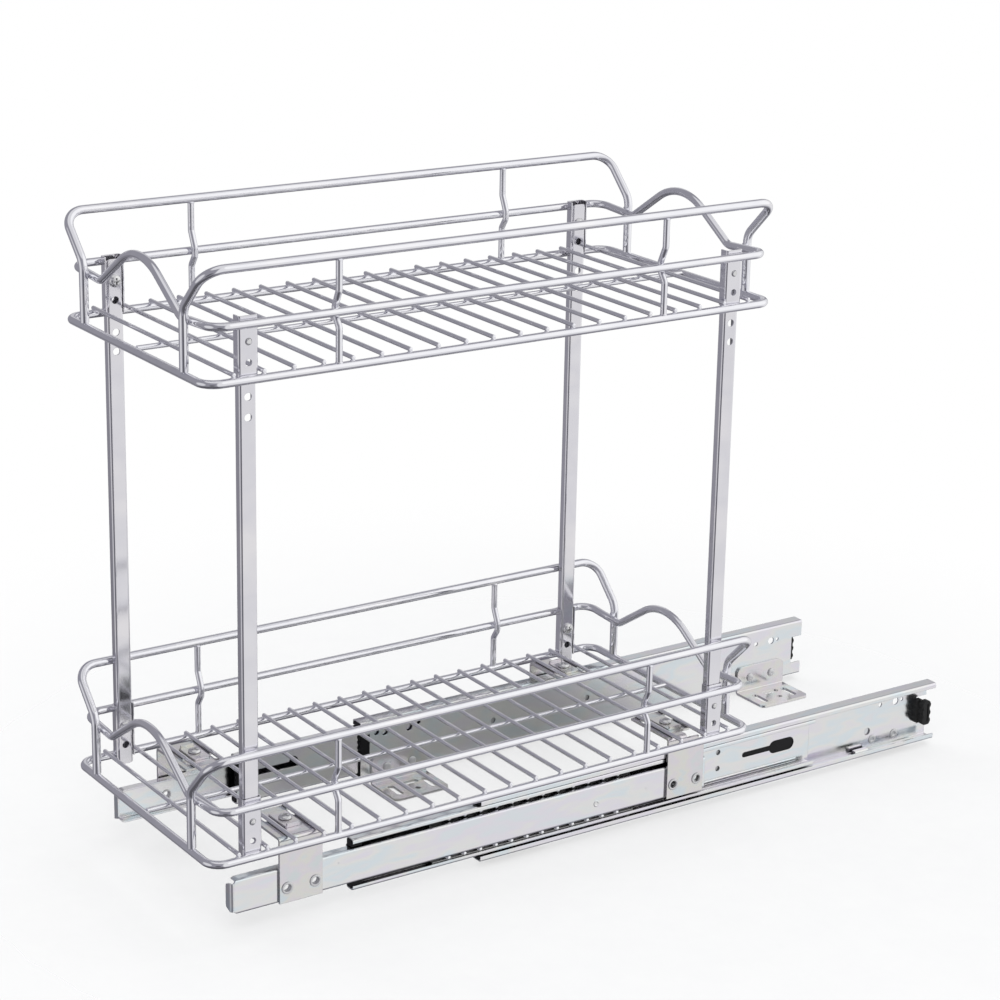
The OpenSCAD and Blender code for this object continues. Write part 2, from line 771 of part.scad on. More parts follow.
// Tube rivets with a rolled ring on the plate's face
module carrier_eyelets(s) {
    x0 = slide_face - slide_wall - weld_gap;
    x1 = carrier_x + carrier_t + weld_gap;
    for (y = eyelet_ys)
        on_side(s) translate([x0, y, carrier_low + eyelet_z]) rotate([0, 90, 0]) difference() {
            union() {
                cylinder(h = x1 - x0, d = eyelet_d);
                translate([0, 0, -0.6]) cylinder(h = 0.6, d = 8.4);
                translate([0, 0, x1 - x0]) cylinder(h = 0.7, d = 9.4);
            }
            translate([0, 0, -1]) cylinder(h = x1 - x0 + 3, d = eyelet_bore);
        }
}

clamp_screw_d = 4.8;
clamp_t = 1.6;
clamp_z = carrier_top + weld_gap;

// Small plate between two cross wires, its outer edge turned up
module wire_clamp(s, u) {
    yc = u < 0 ? clamp_front_y : clamp_rear_y;
    xc = slide_face - clamp_in;
    on_side(s) difference() {
        union() {
            translate([0, 0, clamp_z]) linear_extrude(height = clamp_t)
                round_rect([xc - clamp_len / 2, yc - clamp_w / 2],
                    [xc + clamp_len / 2, yc + clamp_w / 2], 1.5);
            translate([xc + clamp_len / 2 - clamp_t, yc - clamp_w / 2 + 1.5, clamp_z])
                cube([clamp_t, clamp_w - 3, clamp_t + 1.6]);
        }
        translate([xc, yc, clamp_z - 1]) cylinder(h = 4, d = clamp_screw_d + hole_play);
    }
}

module clamp_screws(s) {
    for (y = [clamp_front_y, clamp_rear_y])
        on_side(s) translate([slide_face - clamp_in, y, clamp_z + clamp_t + weld_gap]) {
            pan_head(10, 3);
            translate([0, 0, -9]) cylinder(h = 9 + eps, d = clamp_screw_d);
        }
}

// ---------------------------------------------------------------- nodes

color("silver") frame_wire(lower_z);  // lower_frame_wire
color("silver") cross_wires(lower_z);  // lower_cross_wires
color("silver") centre_wire(lower_z);  // lower_centre_wire
color("silver") mid_rail(lower_z);  // lower_mid_rail
color("silver") top_rail(-1, lower_z);  // lower_top_rail_left
color("silver") top_rail(1, lower_z);  // lower_top_rail_right
color("silver") upright_wires(lower_z);  // lower_upright_wires
color("gainsboro") post_sockets(lower_z);  // lower_post_sockets
color("silver") frame_wire(upper_z);  // upper_frame_wire
color("silver") cross_wires(upper_z);  // upper_cross_wires
color("silver") centre_wire(upper_z);  // upper_centre_wire
color("silver") mid_rail(upper_z);  // upper_mid_rail
color("silver") top_rail(-1, upper_z);  // upper_top_rail_left
color("silver") top_rail(1, upper_z);  // upper_top_rail_right
color("silver") upright_wires(upper_z);  // upper_upright_wires
color("gainsboro") post_sockets(upper_z);  // upper_post_sockets
color("gainsboro") post(-1, post_front_y);  // post_front_left
color("gainsboro") post(1, post_front_y);  // post_front_right
color("gainsboro") post(-1, post_rear_y);  // post_rear_left
color("gainsboro") post(1, post_rear_y);  // post_rear_right
color("lightgray") post_screws(lower_z);  // lower_post_screws
color("lightgray") post_screws(upper_z);  // upper_post_screws
color("darkgray") outer_member(-1);  // outer_member_left
color("darkgray") outer_member(1);  // outer_member_right
color("lightgray") middle_member(-1);  // middle_member_left
color("lightgray") middle_member(1);  // middle_member_right
color("gainsboro") inner_member(-1);  // inner_member_left
color("gainsboro") inner_member(1);  // inner_member_right
color("gray") outer_ball_cage(-1);  // outer_ball_cage_left
color("gray") outer_ball_cage(1);  // outer_ball_cage_right
color("gray") inner_ball_cage(-1);  // inner_ball_cage_left
color("gray") inner_ball_cage(1);  // inner_ball_cage_right
color("dimgray") rear_bumper(-1);  // rear_bumper_left
color("dimgray") rear_bumper(1);  // rear_bumper_right
color("dimgray") outer_front_stop(-1);  // outer_front_stop_left
color("dimgray") outer_front_stop(1);  // outer_front_stop_right
color("dimgray") middle_front_stop(-1);  // middle_front_stop_left
color("dimgray") middle_front_stop(1);  // middle_front_stop_right
color("silver") floor_plate(-1, plate_front_y);  // floor_plate_front_left
color("silver") floor_plate(1, plate_front_y);  // floor_plate_front_right
color("silver") floor_plate(-1, plate_rear_y);  // floor_plate_rear_left
color("silver") floor_plate(1, plate_rear_y);  // floor_plate_rear_right
color("silver") floor_plate_rivets(-1);  // floor_plate_rivets_left
color("silver") floor_plate_rivets(1);  // floor_plate_rivets_right
color("silver") carrier_plate(-1, -1);  // carrier_plate_front_left
color("silver") carrier_plate(1, -1);  // carrier_plate_front_right
color("silver") carrier_plate(-1, 1);  // carrier_plate_rear_left
color("silver") carrier_plate(1, 1);  // carrier_plate_rear_right
color("silver") carrier_eyelets(-1);  // carrier_eyelets_left
color("silver") carrier_eyelets(1);  // carrier_eyelets_right
color("silver") wire_clamp(-1, -1);  // wire_clamp_front_left
color("silver") wire_clamp(1, -1);  // wire_clamp_front_right
color("silver") wire_clamp(-1, 1);  // wire_clamp_rear_left
color("silver") wire_clamp(1, 1);  // wire_clamp_rear_right
color("lightgray") clamp_screws(-1);  // clamp_screws_left
color("lightgray") clamp_screws(1);  // clamp_screws_right
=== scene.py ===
"""Looks of a pull out cabinet basket.

Two chrome wire baskets stand one above the other on four channel posts, and the lower one is
screwed to a pair of ball slides. The solids give every size. This script dresses them: smooth
swept wires with their welds, recessed screws, rolled eyelets, polished balls, and plated, zinc
coated, moulded and rubber surfaces. Lengths in the data classes are millimetres.
"""

from __future__ import annotations

import json
import logging
import math
from dataclasses import dataclass
from enum import Enum
from typing import Sequence

import bmesh
import bpy
from mathutils import Matrix, Vector

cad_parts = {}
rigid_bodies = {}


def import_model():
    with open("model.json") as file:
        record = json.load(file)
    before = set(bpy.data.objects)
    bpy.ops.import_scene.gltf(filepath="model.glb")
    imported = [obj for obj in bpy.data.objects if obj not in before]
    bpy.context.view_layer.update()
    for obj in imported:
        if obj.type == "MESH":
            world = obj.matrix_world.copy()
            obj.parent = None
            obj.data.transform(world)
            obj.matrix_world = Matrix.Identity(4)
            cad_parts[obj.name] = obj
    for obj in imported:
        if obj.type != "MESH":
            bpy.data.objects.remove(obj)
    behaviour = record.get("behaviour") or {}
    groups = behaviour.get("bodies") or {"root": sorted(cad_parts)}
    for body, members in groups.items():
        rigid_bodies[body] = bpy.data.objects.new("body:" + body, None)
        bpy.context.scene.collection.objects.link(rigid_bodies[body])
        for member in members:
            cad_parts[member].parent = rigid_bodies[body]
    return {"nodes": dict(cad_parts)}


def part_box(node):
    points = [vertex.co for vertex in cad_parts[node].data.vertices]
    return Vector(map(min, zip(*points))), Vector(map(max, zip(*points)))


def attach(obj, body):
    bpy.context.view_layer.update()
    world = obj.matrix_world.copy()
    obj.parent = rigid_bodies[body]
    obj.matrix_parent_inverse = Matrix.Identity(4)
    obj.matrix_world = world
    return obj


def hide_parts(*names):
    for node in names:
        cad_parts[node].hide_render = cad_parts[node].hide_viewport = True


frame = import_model()

logging.basicConfig(level=logging.INFO, format="%(message)s")
log = logging.getLogger("basket")

MM = 0.001
# A noise's factor lies mostly between these two, so a finish spreads its colours over them
GRAIN_SPAN = (0.3, 0.7)
# Crease angle in degrees that no edge passes, for a mesh that is smooth all over
ALL_SMOOTH = 180.0

Pair = tuple[float, float]
Point = tuple[float, float, float]
Outline = list[Pair]


class Side(Enum):
    """A side of the assembly, by the sign of X."""

    LEFT = -1
    RIGHT = 1

    @property
    def word(self) -> str:
        """The side's word in the node names."""
        return self.name.lower()

    def outward(self) -> Point:
        """The Euler turn that points +Z away from the part's middle on this side."""
        return 0.0, self.value * math.pi / 2, 0.0

    def inward(self) -> Point:
        """The Euler turn that points +Z to the part's middle from this side."""
        return 0.0, -self.value * math.pi / 2, 0.0


class Tier(Enum):
    """A basket, by the height of its frame wire in mm."""

    LOWER = 66.0
    UPPER = 414.8

    @property
    def word(self) -> str:
        """The tier's word in the node names."""
        return self.name.lower()


# ---------------------------------------------------------------- sizes


@dataclass(frozen=True)
class Sizes:
    """Sizes and places of the solids that the dressed pieces follow, in mm."""

    # The frame wire's half width and length, and the front wire's Y
    half_w: float = 107.5
    length: float = 480.0
    front: float = -345.375
    # Heights of the middle and the top rail above the frame wire
    mid_z: float = 38.5
    top_z: float = 77.7
    # Number of cross wires, and the distance of the outermost ones from the basket's ends
    cross_count: int = 20
    cross_inset: float = 21.2
    # Diameters of the wires
    frame_d: float = 6.0
    mid_d: float = 6.0
    top_d: float = 6.5
    upright_d: float = 4.8
    cross_d: float = 3.2
    centre_d: float = 4.0
    # Bend radius of the frame wire's and the middle rail's corners
    corner_r: float = 12.0
    # The top rail's feet: their X, the height where they lean outward, and the bend radius
    foot_x: float = 76.5
    knee_z: float = 46.5
    top_r: float = 15.0
    # The middle rail's ends: X, drop and radius of the dips, then height and radius of the arch
    dip_x: float = 61.4
    dip_drop: float = 2.5
    dip_r: float = 12.0
    arch_z: float = 76.0
    arch_r: float = 50.0
    # The gap left between solids where a weld joins them
    gap: float = 0.05
    # The slides' inner and outer side, and the height of their middle
    slide_x: float = 82.0
    slide_face: float = 94.7
    slide_z: float = 31.0
    # Front ends of the fixed, middle and inner members, and the middle one's length
    outer_y: float = -111.375
    middle_y: float = -222.875
    middle_len: float = 440.0
    inner_y: float = -322.375
    # Ball cages: how far behind their track's front end they start, their length and their balls
    outer_cage_y: float = 70.0
    inner_cage_y: float = 70.0
    cage_len: float = 186.2
    ball_pitch: float = 14.2
    ball_count: int = 12

    @property
    def cross_pitch(self) -> float:
        """Distance between two cross wires."""
        return (self.length - 2 * self.cross_inset) / (self.cross_count - 1)

    @property
    def cross_z(self) -> float:
        """Height of a cross wire's centre line above the frame wire's."""
        return (self.frame_d + self.cross_d) / 2 + self.gap

    def wire_y(self, index: float) -> float:
        """Y in mm of a cross wire, counted from 1 at the front. A half lies between two wires."""
        return self.front + self.cross_inset + (index - 1) * self.cross_pitch


S = Sizes()


# ---------------------------------------------------------------- node tools


def linear(hex_colour: str) -> tuple[float, float, float, float]:
    """Converts a colour written as sRGB hex to linear light.

    Args:
        hex_colour: Six hex digits.

    Returns:
        Red, green, blue and an alpha of 1.
    """
    parts = [int(hex_colour[i : i + 2], 16) / 255 for i in (0, 2, 4)]
    r, g, b = (c / 12.92 if c <= 0.04045 else ((c + 0.055) / 1.055) ** 2.4 for c in parts)
    return r, g, b, 1.0


def add_node(
    tree: bpy.types.NodeTree,
    kind: str,
    inputs: dict | None = None,
    stops: Sequence[tuple[float, str]] = (),
    **props: object,
) -> bpy.types.Node:
    """Adds a node with its properties, fills or links its inputs and sets its colour stops.

    Args:
        tree: The shader or geometry tree.
        kind: The node's type name.
        inputs: Input name or index to a value, to the output socket that feeds it, or to a node
            whose first output feeds it.
        stops: Place from 0 to 1 and colour as sRGB hex of a colour ramp's stops, in order.
        **props: Properties of the node.

    Returns:
        The node.
    """
    node = tree.nodes.new(kind)
    for key, value in props.items():
        setattr(node, key, value)
    for key, value in (inputs or {}).items():
        source = value.outputs[0] if isinstance(value, bpy.types.Node) else value
        if isinstance(source, bpy.types.NodeSocket):
            tree.links.new(source, node.inputs[key])
        else:
            node.inputs[key].default_value = source
    if stops:
        elements = node.color_ramp.elements
        while len(elements) < len(stops):
            elements.new(0.5)
        for element, (place, colour) in zip(elements, stops):
            element.position = place
            element.color = linear(colour)
    return node


def empty_tree(owner: bpy.types.Material | bpy.types.World) -> bpy.types.NodeTree:
    """Switches a material or a world to nodes and empties its tree.

    Args:
        owner: The material or world.

    Returns:
        The empty tree.
    """
    owner.use_nodes = True
    owner.node_tree.nodes.clear()
    return owner.node_tree


def mottle(tree: bpy.types.NodeTree, size: Point, detail: float, attribute: str = "") -> bpy.types.Node:
    """Adds a noise whose grains have a real size.

    Args:
        tree: The shader tree.
        size: Size of a grain along X, Y and Z in mm, or along the attribute's parts.
        detail: Octaves.
        attribute: Own vector attribute that places the noise, or nothing for Object coordinates.

    Returns:
        The node. Its factor lies mostly within GRAIN_SPAN.
    """
    if attribute:
        place = add_node(tree, "ShaderNodeAttribute", attribute_name=attribute).outputs["Vector"]
    else:
        place = add_node(tree, "ShaderNodeTexCoord").outputs["Object"]
    per_metre = tuple(1 / (s * MM) for s in size)
    mapped = add_node(tree, "ShaderNodeMapping", {"Vector": place, "Scale": per_metre})
    return add_node(tree, "ShaderNodeTexNoise", {
        "Vector": mapped, "Scale": 1.0, "Detail": detail, "Roughness": 0.55,
    })


# ---------------------------------------------------------------- finishes


class Grain(Enum):
    """Which way the fine lines of a surface run."""

    WIRE = "wire_place"
    ALONG_Y = "y"
    ALONG_Z = "z"
    NONE = "none"


@dataclass(frozen=True)
class Finish:
    """A surface made of nodes.

    Attributes:
        name: Name of the real material.
        tints: Colours that drift into one another over the surface, as sRGB hex.
        patch: Size of the drifting patches in mm.
        stretch: How many times longer the patches are along Y.
        metallic: 1 for bare or plated metal, 0 for plastic and rubber.
        rough: Lowest and highest roughness.
        rough_patch: Size in mm of the areas that differ in roughness.
        grain: Direction of the fine lines.
        grain_size: Spacing of the fine lines or grains in mm.
        grain_length: How many times longer than their spacing the fine lines are.
        grain_depth: Height of the lines or grains in mm.
        edge: Radius in mm to which sharp edges look rounded, 0 for none.
        coat: Weight of a clear film, as zinc passivation leaves.
        coat_rough: Roughness of that film.
        grime: Depth in mm of the gaps and holes that painted shade darkens, 0 for none.
        grease: Colour of that painted shade.
        specular: Specular level of plastic and rubber.
    """

    name: str
    tints: tuple[str, ...]
    patch: float = 20.0
    stretch: float = 1.6
    metallic: float = 1.0
    rough: Pair = (0.1, 0.2)
    rough_patch: float = 6.0
    grain: Grain = Grain.NONE
    grain_size: float = 0.3
    grain_length: float = 60.0
    grain_depth: float = 0.004
    edge: float = 0.0
    coat: float = 0.0
    coat_rough: float = 0.12
    grime: float = 0.0
    grease: str = "2c2a2b"
    specular: float = 0.5

    def _grain_size(self) -> Point:
        """Gives the size of a grain.

        Returns:
            Its size along X, Y and Z, or along the wire's own place, in mm.
        """
        fine, long = self.grain_size, self.grain_size * self.grain_length
        return {
            Grain.ALONG_Y: (fine, long, fine),
            Grain.ALONG_Z: (fine, fine, long),
            Grain.WIRE: (fine, fine, long),
            Grain.NONE: (fine, fine, fine),
        }[self.grain]

    def _greased(self, tree: bpy.types.NodeTree, colour: bpy.types.Node) -> bpy.types.NodeSocket:
        """Paints shade into the colour: darkens it in narrow gaps and behind holes.

        Args:
            tree: The material's tree.
            colour: The colour without the painted shade.

        Returns:
            The colour output.
        """
        black_below, unshaded_above = 0.15, 0.55
        room = add_node(tree, "ShaderNodeAmbientOcclusion", {"Distance": self.grime * MM}, samples=8)
        unshaded = add_node(tree, "ShaderNodeMapRange", {
            "Value": room.outputs["AO"], "From Min": black_below, "From Max": unshaded_above,
        }, interpolation_type="SMOOTHSTEP")
        mixed = add_node(tree, "ShaderNodeMix", {
            0: unshaded, 6: linear(self.grease), 7: colour,
        }, data_type="RGBA")
        return mixed.outputs[2]

    def material(self) -> bpy.types.Material:
        """Builds the material once and returns it.

        Returns:
            The material.
        """
        found = bpy.data.materials.get(self.name)
        if found:
            return found
        made = bpy.data.materials.new(self.name)
        tree = empty_tree(made)
        drift = mottle(tree, (self.patch, self.patch * self.stretch, self.patch), 2.0)
        low, high = GRAIN_SPAN
        step = (high - low) / (len(self.tints) - 1)
        stops = [(low + step * i, tint) for i, tint in enumerate(self.tints)]
        colour = add_node(tree, "ShaderNodeValToRGB", {"Fac": drift}, stops)
        # Painted shade: ambient occlusion darkens the colour in gaps and holes
        if self.grime:
            colour = self._greased(tree, colour)
        wear = mottle(tree, (self.rough_patch,) * 3, 5.0)
        roughness = add_node(tree, "ShaderNodeMapRange", {
            "Value": wear, "To Min": self.rough[0], "To Max": self.rough[1],
        })
        own = Grain.WIRE.value if self.grain is Grain.WIRE else ""
        lines = mottle(tree, self._grain_size(), 3.0, own)
        relief = {"Height": lines, "Distance": self.grain_depth * MM, "Strength": 1.0}
        if self.edge:
            relief["Normal"] = add_node(tree, "ShaderNodeBevel", {"Radius": self.edge * MM}, samples=6)
        bump = add_node(tree, "ShaderNodeBump", relief)
        shader = add_node(tree, "ShaderNodeBsdfPrincipled", {
            "Base Color": colour, "Metallic": self.metallic, "Roughness": roughness, "Normal": bump,
        })
        if self.coat:
            shader.inputs["Coat Weight"].default_value = self.coat
            shader.inputs["Coat Roughness"].default_value = self.coat_rough
        if self.metallic < 1:
            shader.inputs["Specular IOR Level"].default_value = self.specular
        add_node(tree, "ShaderNodeOutputMaterial", {"Surface": shader})
        return made


# The real surfaces' fine lines are a few thousandths of a mm apart. Here they are drawn as coarse
# as they need to be to show.

# Mirror bright plating with the drawn wire's fine lines and a trace of blue and violet
CHROME = Finish("chrome_plated_wire", ("f8f8fb", "f1f1f6", "f9f8fa"), 35, rough=(0.035, 0.08),
                grain=Grain.WIRE, grain_size=0.12, grain_depth=0.0002)
# Plated channel, nearly as bright, with faint rolling lines up the post
PLATED = Finish("plated_sheet_steel", ("f0eff2", "e8e7ec", "f3f1f3"), 40, rough=(0.07, 0.13),
                rough_patch=25, grain=Grain.ALONG_Z, grain_size=0.15, grain_depth=0.001, edge=0.35)
# Inside of a channel: a dull grey copy of the plating, as painted shade
INSIDE_SHADE = Finish("dull_inside_steel", ("8f8f95", "9a9a9f"), 12, metallic=0.35, rough=(0.4, 0.55),
                rough_patch=6, grain=Grain.ALONG_Z, grain_size=0.2, grain_depth=0.003, specular=0.4)
# Blue passivated zinc with the faint rainbow of the passivation film, and with painted shade that
# makes the gaps between the members dark
ZINC = Finish("blue_zinc_steel", ("e9eef2", "eeebf2", "f0f0ee", "e6eff3", "efedef"), 17, 3.2,
              rough=(0.13, 0.21), rough_patch=18, grain=Grain.ALONG_Y, grain_size=0.12,
              grain_depth=0.0012, edge=0.45, coat=0.1, grime=10.0)
# The same zinc on folded plates, a little duller and with an even grain, and painted shade in its gaps
ZINC_PLATE = Finish("zinc_plate_steel", ("dfe5e6", "e7e2e7", "e8e7e1", "dde6ea"), 13,
                    rough=(0.14, 0.24), rough_patch=9, grain_size=0.4, grain_depth=0.0012,
                    edge=0.45, coat=0.1, grime=4.0)
# Stamped cage strip, oiled and darker
CAGE = Finish("ball_cage_steel", ("bcc0c4", "c6c8ca", "b5babe"), 8, rough=(0.22, 0.36),
              grain=Grain.ALONG_Y, grain_size=0.1, grain_depth=0.003)
# Ground and hardened ball, which mirrors all round it
BALL = Finish("polished_ball_steel", ("f4f5f7", "eceef1"), 3, rough=(0.03, 0.06),
              grain_size=0.05, grain_depth=0.0003)
# Rolled and flared rivet, satin bright, with painted shade that darkens its bore
RIVET = Finish("rivet_steel", ("e6e9ec", "dcdfe4", "ececee"), 3, rough=(0.14, 0.28),
               rough_patch=1.2, grain_size=0.2, grain_depth=0.004, grime=2.5)
# Cold headed screw, bright with faint die marks, with painted shade that darkens its recess
SCREW = Finish("screw_steel", ("eceef1", "e2e5e9", "f0f0f2"), 3, rough=(0.06, 0.14),
               rough_patch=1, grain_size=0.15, grain_depth=0.004, grime=2.5)
# Moulded plastic with a fine spark eroded grain
PLASTIC = Finish("black_moulded_plastic", ("08080a", "0d0d11"), 6, metallic=0.0,
                 rough=(0.38, 0.52), rough_patch=1.5, grain_size=0.18, grain_depth=0.012,
                 edge=0.4, specular=0.25)
# Matt rubber with a dusty bloom
RUBBER = Finish("black_rubber", ("070708", "0f0f12", "0b0b0d"), 4, metallic=0.0,
                rough=(0.36, 0.55), rough_patch=1.5, grain_size=0.3, grain_depth=0.02,
                edge=0.5, specular=0.1)


# ---------------------------------------------------------------- meshes


def lathe(name: str, profile: Outline, steps: int) -> bpy.types.Mesh:
    """Turns a profile round Z.

    Args:
        name: Name of the mesh.
        profile: Radius and height in mm, from the bottom up. A radius of 0 closes an end, and so
            does a profile that ends where it starts.
        steps: Sides of the turned piece.

    Returns:
        The mesh.
    """
    bm = bmesh.new()
    rings = []
    for radius, height in profile:
        if radius < 1e-6:
            rings.append([bm.verts.new((0, 0, height * MM))])
            continue
        rings.append([
            bm.verts.new((radius * MM * math.cos(a), radius * MM * math.sin(a), height * MM))
            for a in (2 * math.pi * i / steps for i in range(steps))
        ])
    bridge(bm, rings)
    bmesh.ops.remove_doubles(bm, verts=bm.verts[:], dist=MM * MM)
    return smooth_mesh(name, bm)


def smooth_mesh(name: str, bm: bmesh.types.BMesh, sharp: float = 50.0) -> bpy.types.Mesh:
    """Finishes a mesh with outward normals, smooth faces and sharp creases.

    Args:
        name: Name of the mesh.
        bm: The geometry, freed here.
        sharp: Angle in degrees above which an edge stays sharp.

    Returns:
        The mesh.
    """
    bmesh.ops.recalc_face_normals(bm, faces=bm.faces[:])
    for face in bm.faces:
        face.smooth = True
    for edge in bm.edges:
        if len(edge.link_faces) == 2 and edge.calc_face_angle(0) > math.radians(sharp):
            edge.smooth = False
    mesh = bpy.data.meshes.new(name)
    bm.to_mesh(mesh)
    bm.free()
    return mesh


def arc(centre: Pair, radius: float, start: float, end: float, steps: int) -> Outline:
    """Points on an arc round a centre, from one angle in degrees to another."""
    angles = [math.radians(start + (end - start) * i / steps) for i in range(steps + 1)]
    return [(centre[0] + radius * math.cos(a), centre[1] + radius * math.sin(a)) for a in angles]


def bridge(bm: bmesh.types.BMesh, rings: Sequence[Sequence[bmesh.types.BMVert]]) -> None:
    """Joins rings of equal length, or single points, with faces, one after the other.

    Args:
        bm: The geometry.
        rings: The rings' points, in order.
    """
    for low, high in zip(rings, rings[1:]):
        count = max(len(low), len(high))
        for i in range(count):
            j = (i + 1) % count
            corners = (low[i % len(low)], low[j % len(low)], high[j % len(high)], high[i % len(high)])
            bm.faces.new(tuple(dict.fromkeys(corners)))


def loft(bm: bmesh.types.BMesh, rings: Sequence[Sequence[bmesh.types.BMVert]]) -> None:
    """Joins rings with faces and closes both ends.

    Args:
        bm: The geometry.
        rings: The rings' points, in order.
    """
    bridge(bm, rings)
    for ring in (rings[0], rings[-1]):
        bm.faces.new(ring)


def add_object(name: str, data: bpy.types.ID) -> bpy.types.Object:
    """Makes an object and links it to the scene.

    Args:
        name: Name of the object.
        data: Its mesh, camera or light.

    Returns:
        The object, at the origin.
    """
    made = bpy.data.objects.new(name, data)
    bpy.context.scene.collection.objects.link(made)
    return made


def cut(target: bpy.types.Mesh, cutter: bpy.types.Mesh) -> bpy.types.Mesh:
    """Subtracts one closed mesh from another.

    Args:
        target: What is cut.
        cutter: What is taken away, removed here.

    Returns:
        A new mesh.
    """
    whole, tool = add_object("cut_target", target), add_object("cut_tool", cutter)
    modifier = whole.modifiers.new("cut", "BOOLEAN")
    modifier.object = tool
    modifier.operation = "DIFFERENCE"
    modifier.solver = "EXACT"
    graph = bpy.context.evaluated_depsgraph_get()
    made = bpy.data.meshes.new_from_object(whole.evaluated_get(graph))
    for used in (whole, tool):
        bpy.data.objects.remove(used)
    bpy.data.meshes.remove(cutter)
    return made


def prism(name: str, outline: Outline, y0: float, y1: float) -> bpy.types.Mesh:
    """Runs a closed outline in X and Z along Y.

    Args:
        name: Name of the mesh.
        outline: X and Z in mm, in order round the outline.
        y0: Start in mm.
        y1: End in mm.

    Returns:
        The mesh.
    """
    bm = bmesh.new()
    loft(bm, [[bm.verts.new((x * MM, y * MM, z * MM)) for x, z in outline] for y in (y0, y1)])
    return smooth_mesh(name, bm, 30)


# ---------------------------------------------------------------- geometry node tools


class GeometryTool:
    """A Geometry Nodes tree with named inputs that turns a carrier mesh into a finished one."""

    def __init__(self, name: str, sockets: dict[str, str]) -> None:
        """Starts the tree.

        Args:
            name: Name of the tree.
            sockets: Input name to socket type, after the geometry.
        """
        self.tree = bpy.data.node_groups.new(name, "GeometryNodeTree")
        face = self.tree.interface
        face.new_socket("Geometry", in_out="INPUT", socket_type="NodeSocketGeometry")
        face.new_socket("Geometry", in_out="OUTPUT", socket_type="NodeSocketGeometry")
        self.ids = {
            key: face.new_socket(key, in_out="INPUT", socket_type=kind).identifier
            for key, kind in sockets.items()
        }
        self.start = add_node(self.tree, "NodeGroupInput")

    def end(self, geometry: bpy.types.Node) -> None:
        """Closes the tree with real geometry and its material.

        Args:
            geometry: The node that gives what the tree has made.
        """
        real = add_node(self.tree, "GeometryNodeRealizeInstances", {"Geometry": geometry})
        painted = add_node(self.tree, "GeometryNodeSetMaterial", {
            "Geometry": real, "Material": self.start.outputs["Material"],
        })
        add_node(self.tree, "NodeGroupOutput", {"Geometry": painted})

    def run(self, name: str, carrier: bpy.types.Mesh, values: dict[str, object]) -> bpy.types.Object:
        """Runs the tree on a carrier mesh and keeps the result as a plain mesh object.

        Args:
            name: Name of the object.
            carrier: The tree's input geometry, removed here.
            values: Input name to value.

        Returns:
            The object at the origin, with no modifier left.
        """
        holder = add_object(name + "_carrier", carrier)
        modifier = holder.modifiers.new("shape", "NODES")
        modifier.node_group = self.tree
        for key, value in values.items():
            modifier[self.ids[key]] = value
        holder.update_tag()
        graph = bpy.context.evaluated_depsgraph_get()
        mesh = bpy.data.meshes.new_from_object(holder.evaluated_get(graph))
        mesh.name = name
        bpy.data.objects.remove(holder)
        bpy.data.meshes.remove(carrier)
        return add_object(name, mesh)


def make_sweep() -> GeometryTool:
    """Makes the tree that sweeps a round wire along a bent line.

    Returns:
        The tool. It reads each corner's radius from the carrier's attribute bend.
    """
    tool = GeometryTool("swept_wire", {
        "Diameter": "NodeSocketFloat",
        "Sides": "NodeSocketInt",
        "Bend Steps": "NodeSocketInt",
        "Material": "NodeSocketMaterial",
    })
    tree, start = tool.tree, tool.start.outputs
    line = add_node(tree, "GeometryNodeMeshToCurve", {"Mesh": start["Geometry"]})
    bend = add_node(tree, "GeometryNodeInputNamedAttribute", {"Name": "bend"}, data_type="FLOAT")
    bent = add_node(tree, "GeometryNodeFilletCurve", {
        "Curve": line, "Count": start["Bend Steps"], "Radius": bend,
    }, mode="POLY")
    along = add_node(tree, "GeometryNodeSplineParameter").outputs["Length"]
    marked = add_node(tree, "GeometryNodeStoreNamedAttribute", {
        "Geometry": bent, "Name": "along", "Value": along,
    }, data_type="FLOAT", domain="POINT")
    radius = add_node(tree, "ShaderNodeMath", {0: start["Diameter"], 1: 0.5}, operation="MULTIPLY")
    ring = add_node(tree, "GeometryNodeCurvePrimitiveCircle", {
        "Resolution": start["Sides"], "Radius": radius,
    }, mode="RADIUS")
    place = add_node(tree, "GeometryNodeInputPosition")
    kept = add_node(tree, "GeometryNodeStoreNamedAttribute", {
        "Geometry": ring, "Name": "ring", "Value": place,
    }, data_type="FLOAT_VECTOR", domain="POINT")
    tube = add_node(tree, "GeometryNodeCurveToMesh", {
        "Curve": marked, "Profile Curve": kept, "Fill Caps": True,
    })
    across = add_node(tree, "GeometryNodeInputNamedAttribute", {"Name": "ring"}, data_type="FLOAT_VECTOR")
    length = add_node(tree, "GeometryNodeInputNamedAttribute", {"Name": "along"}, data_type="FLOAT")
    parts = add_node(tree, "ShaderNodeSeparateXYZ", {"Vector": across}).outputs
    own = add_node(tree, "ShaderNodeCombineXYZ", {"X": parts["X"], "Y": parts["Y"], "Z": length})
    placed = add_node(tree, "GeometryNodeStoreNamedAttribute", {
        "Geometry": tube, "Name": Grain.WIRE.value, "Value": own,
    }, data_type="FLOAT_VECTOR", domain="POINT")
    tool.end(add_node(tree, "GeometryNodeSetShadeSmooth", {"Geometry": placed}))
    return tool


def make_row() -> GeometryTool:
    """Makes the tree that repeats its input along a line.

    Returns:
        The tool.
    """
    tool = GeometryTool("row_of_pieces", {
        "Count": "NodeSocketInt",
        "Step": "NodeSocketVector",
        "Material": "NodeSocketMaterial",
    })
    tree, start = tool.tree, tool.start.outputs
    line = add_node(tree, "GeometryNodeMeshLine", {
        "Count": start["Count"], "Offset": start["Step"],
    }, mode="OFFSET")
    tool.end(add_node(tree, "GeometryNodeInstanceOnPoints", {
        "Points": line, "Instance": start["Geometry"],
    }))
    return tool


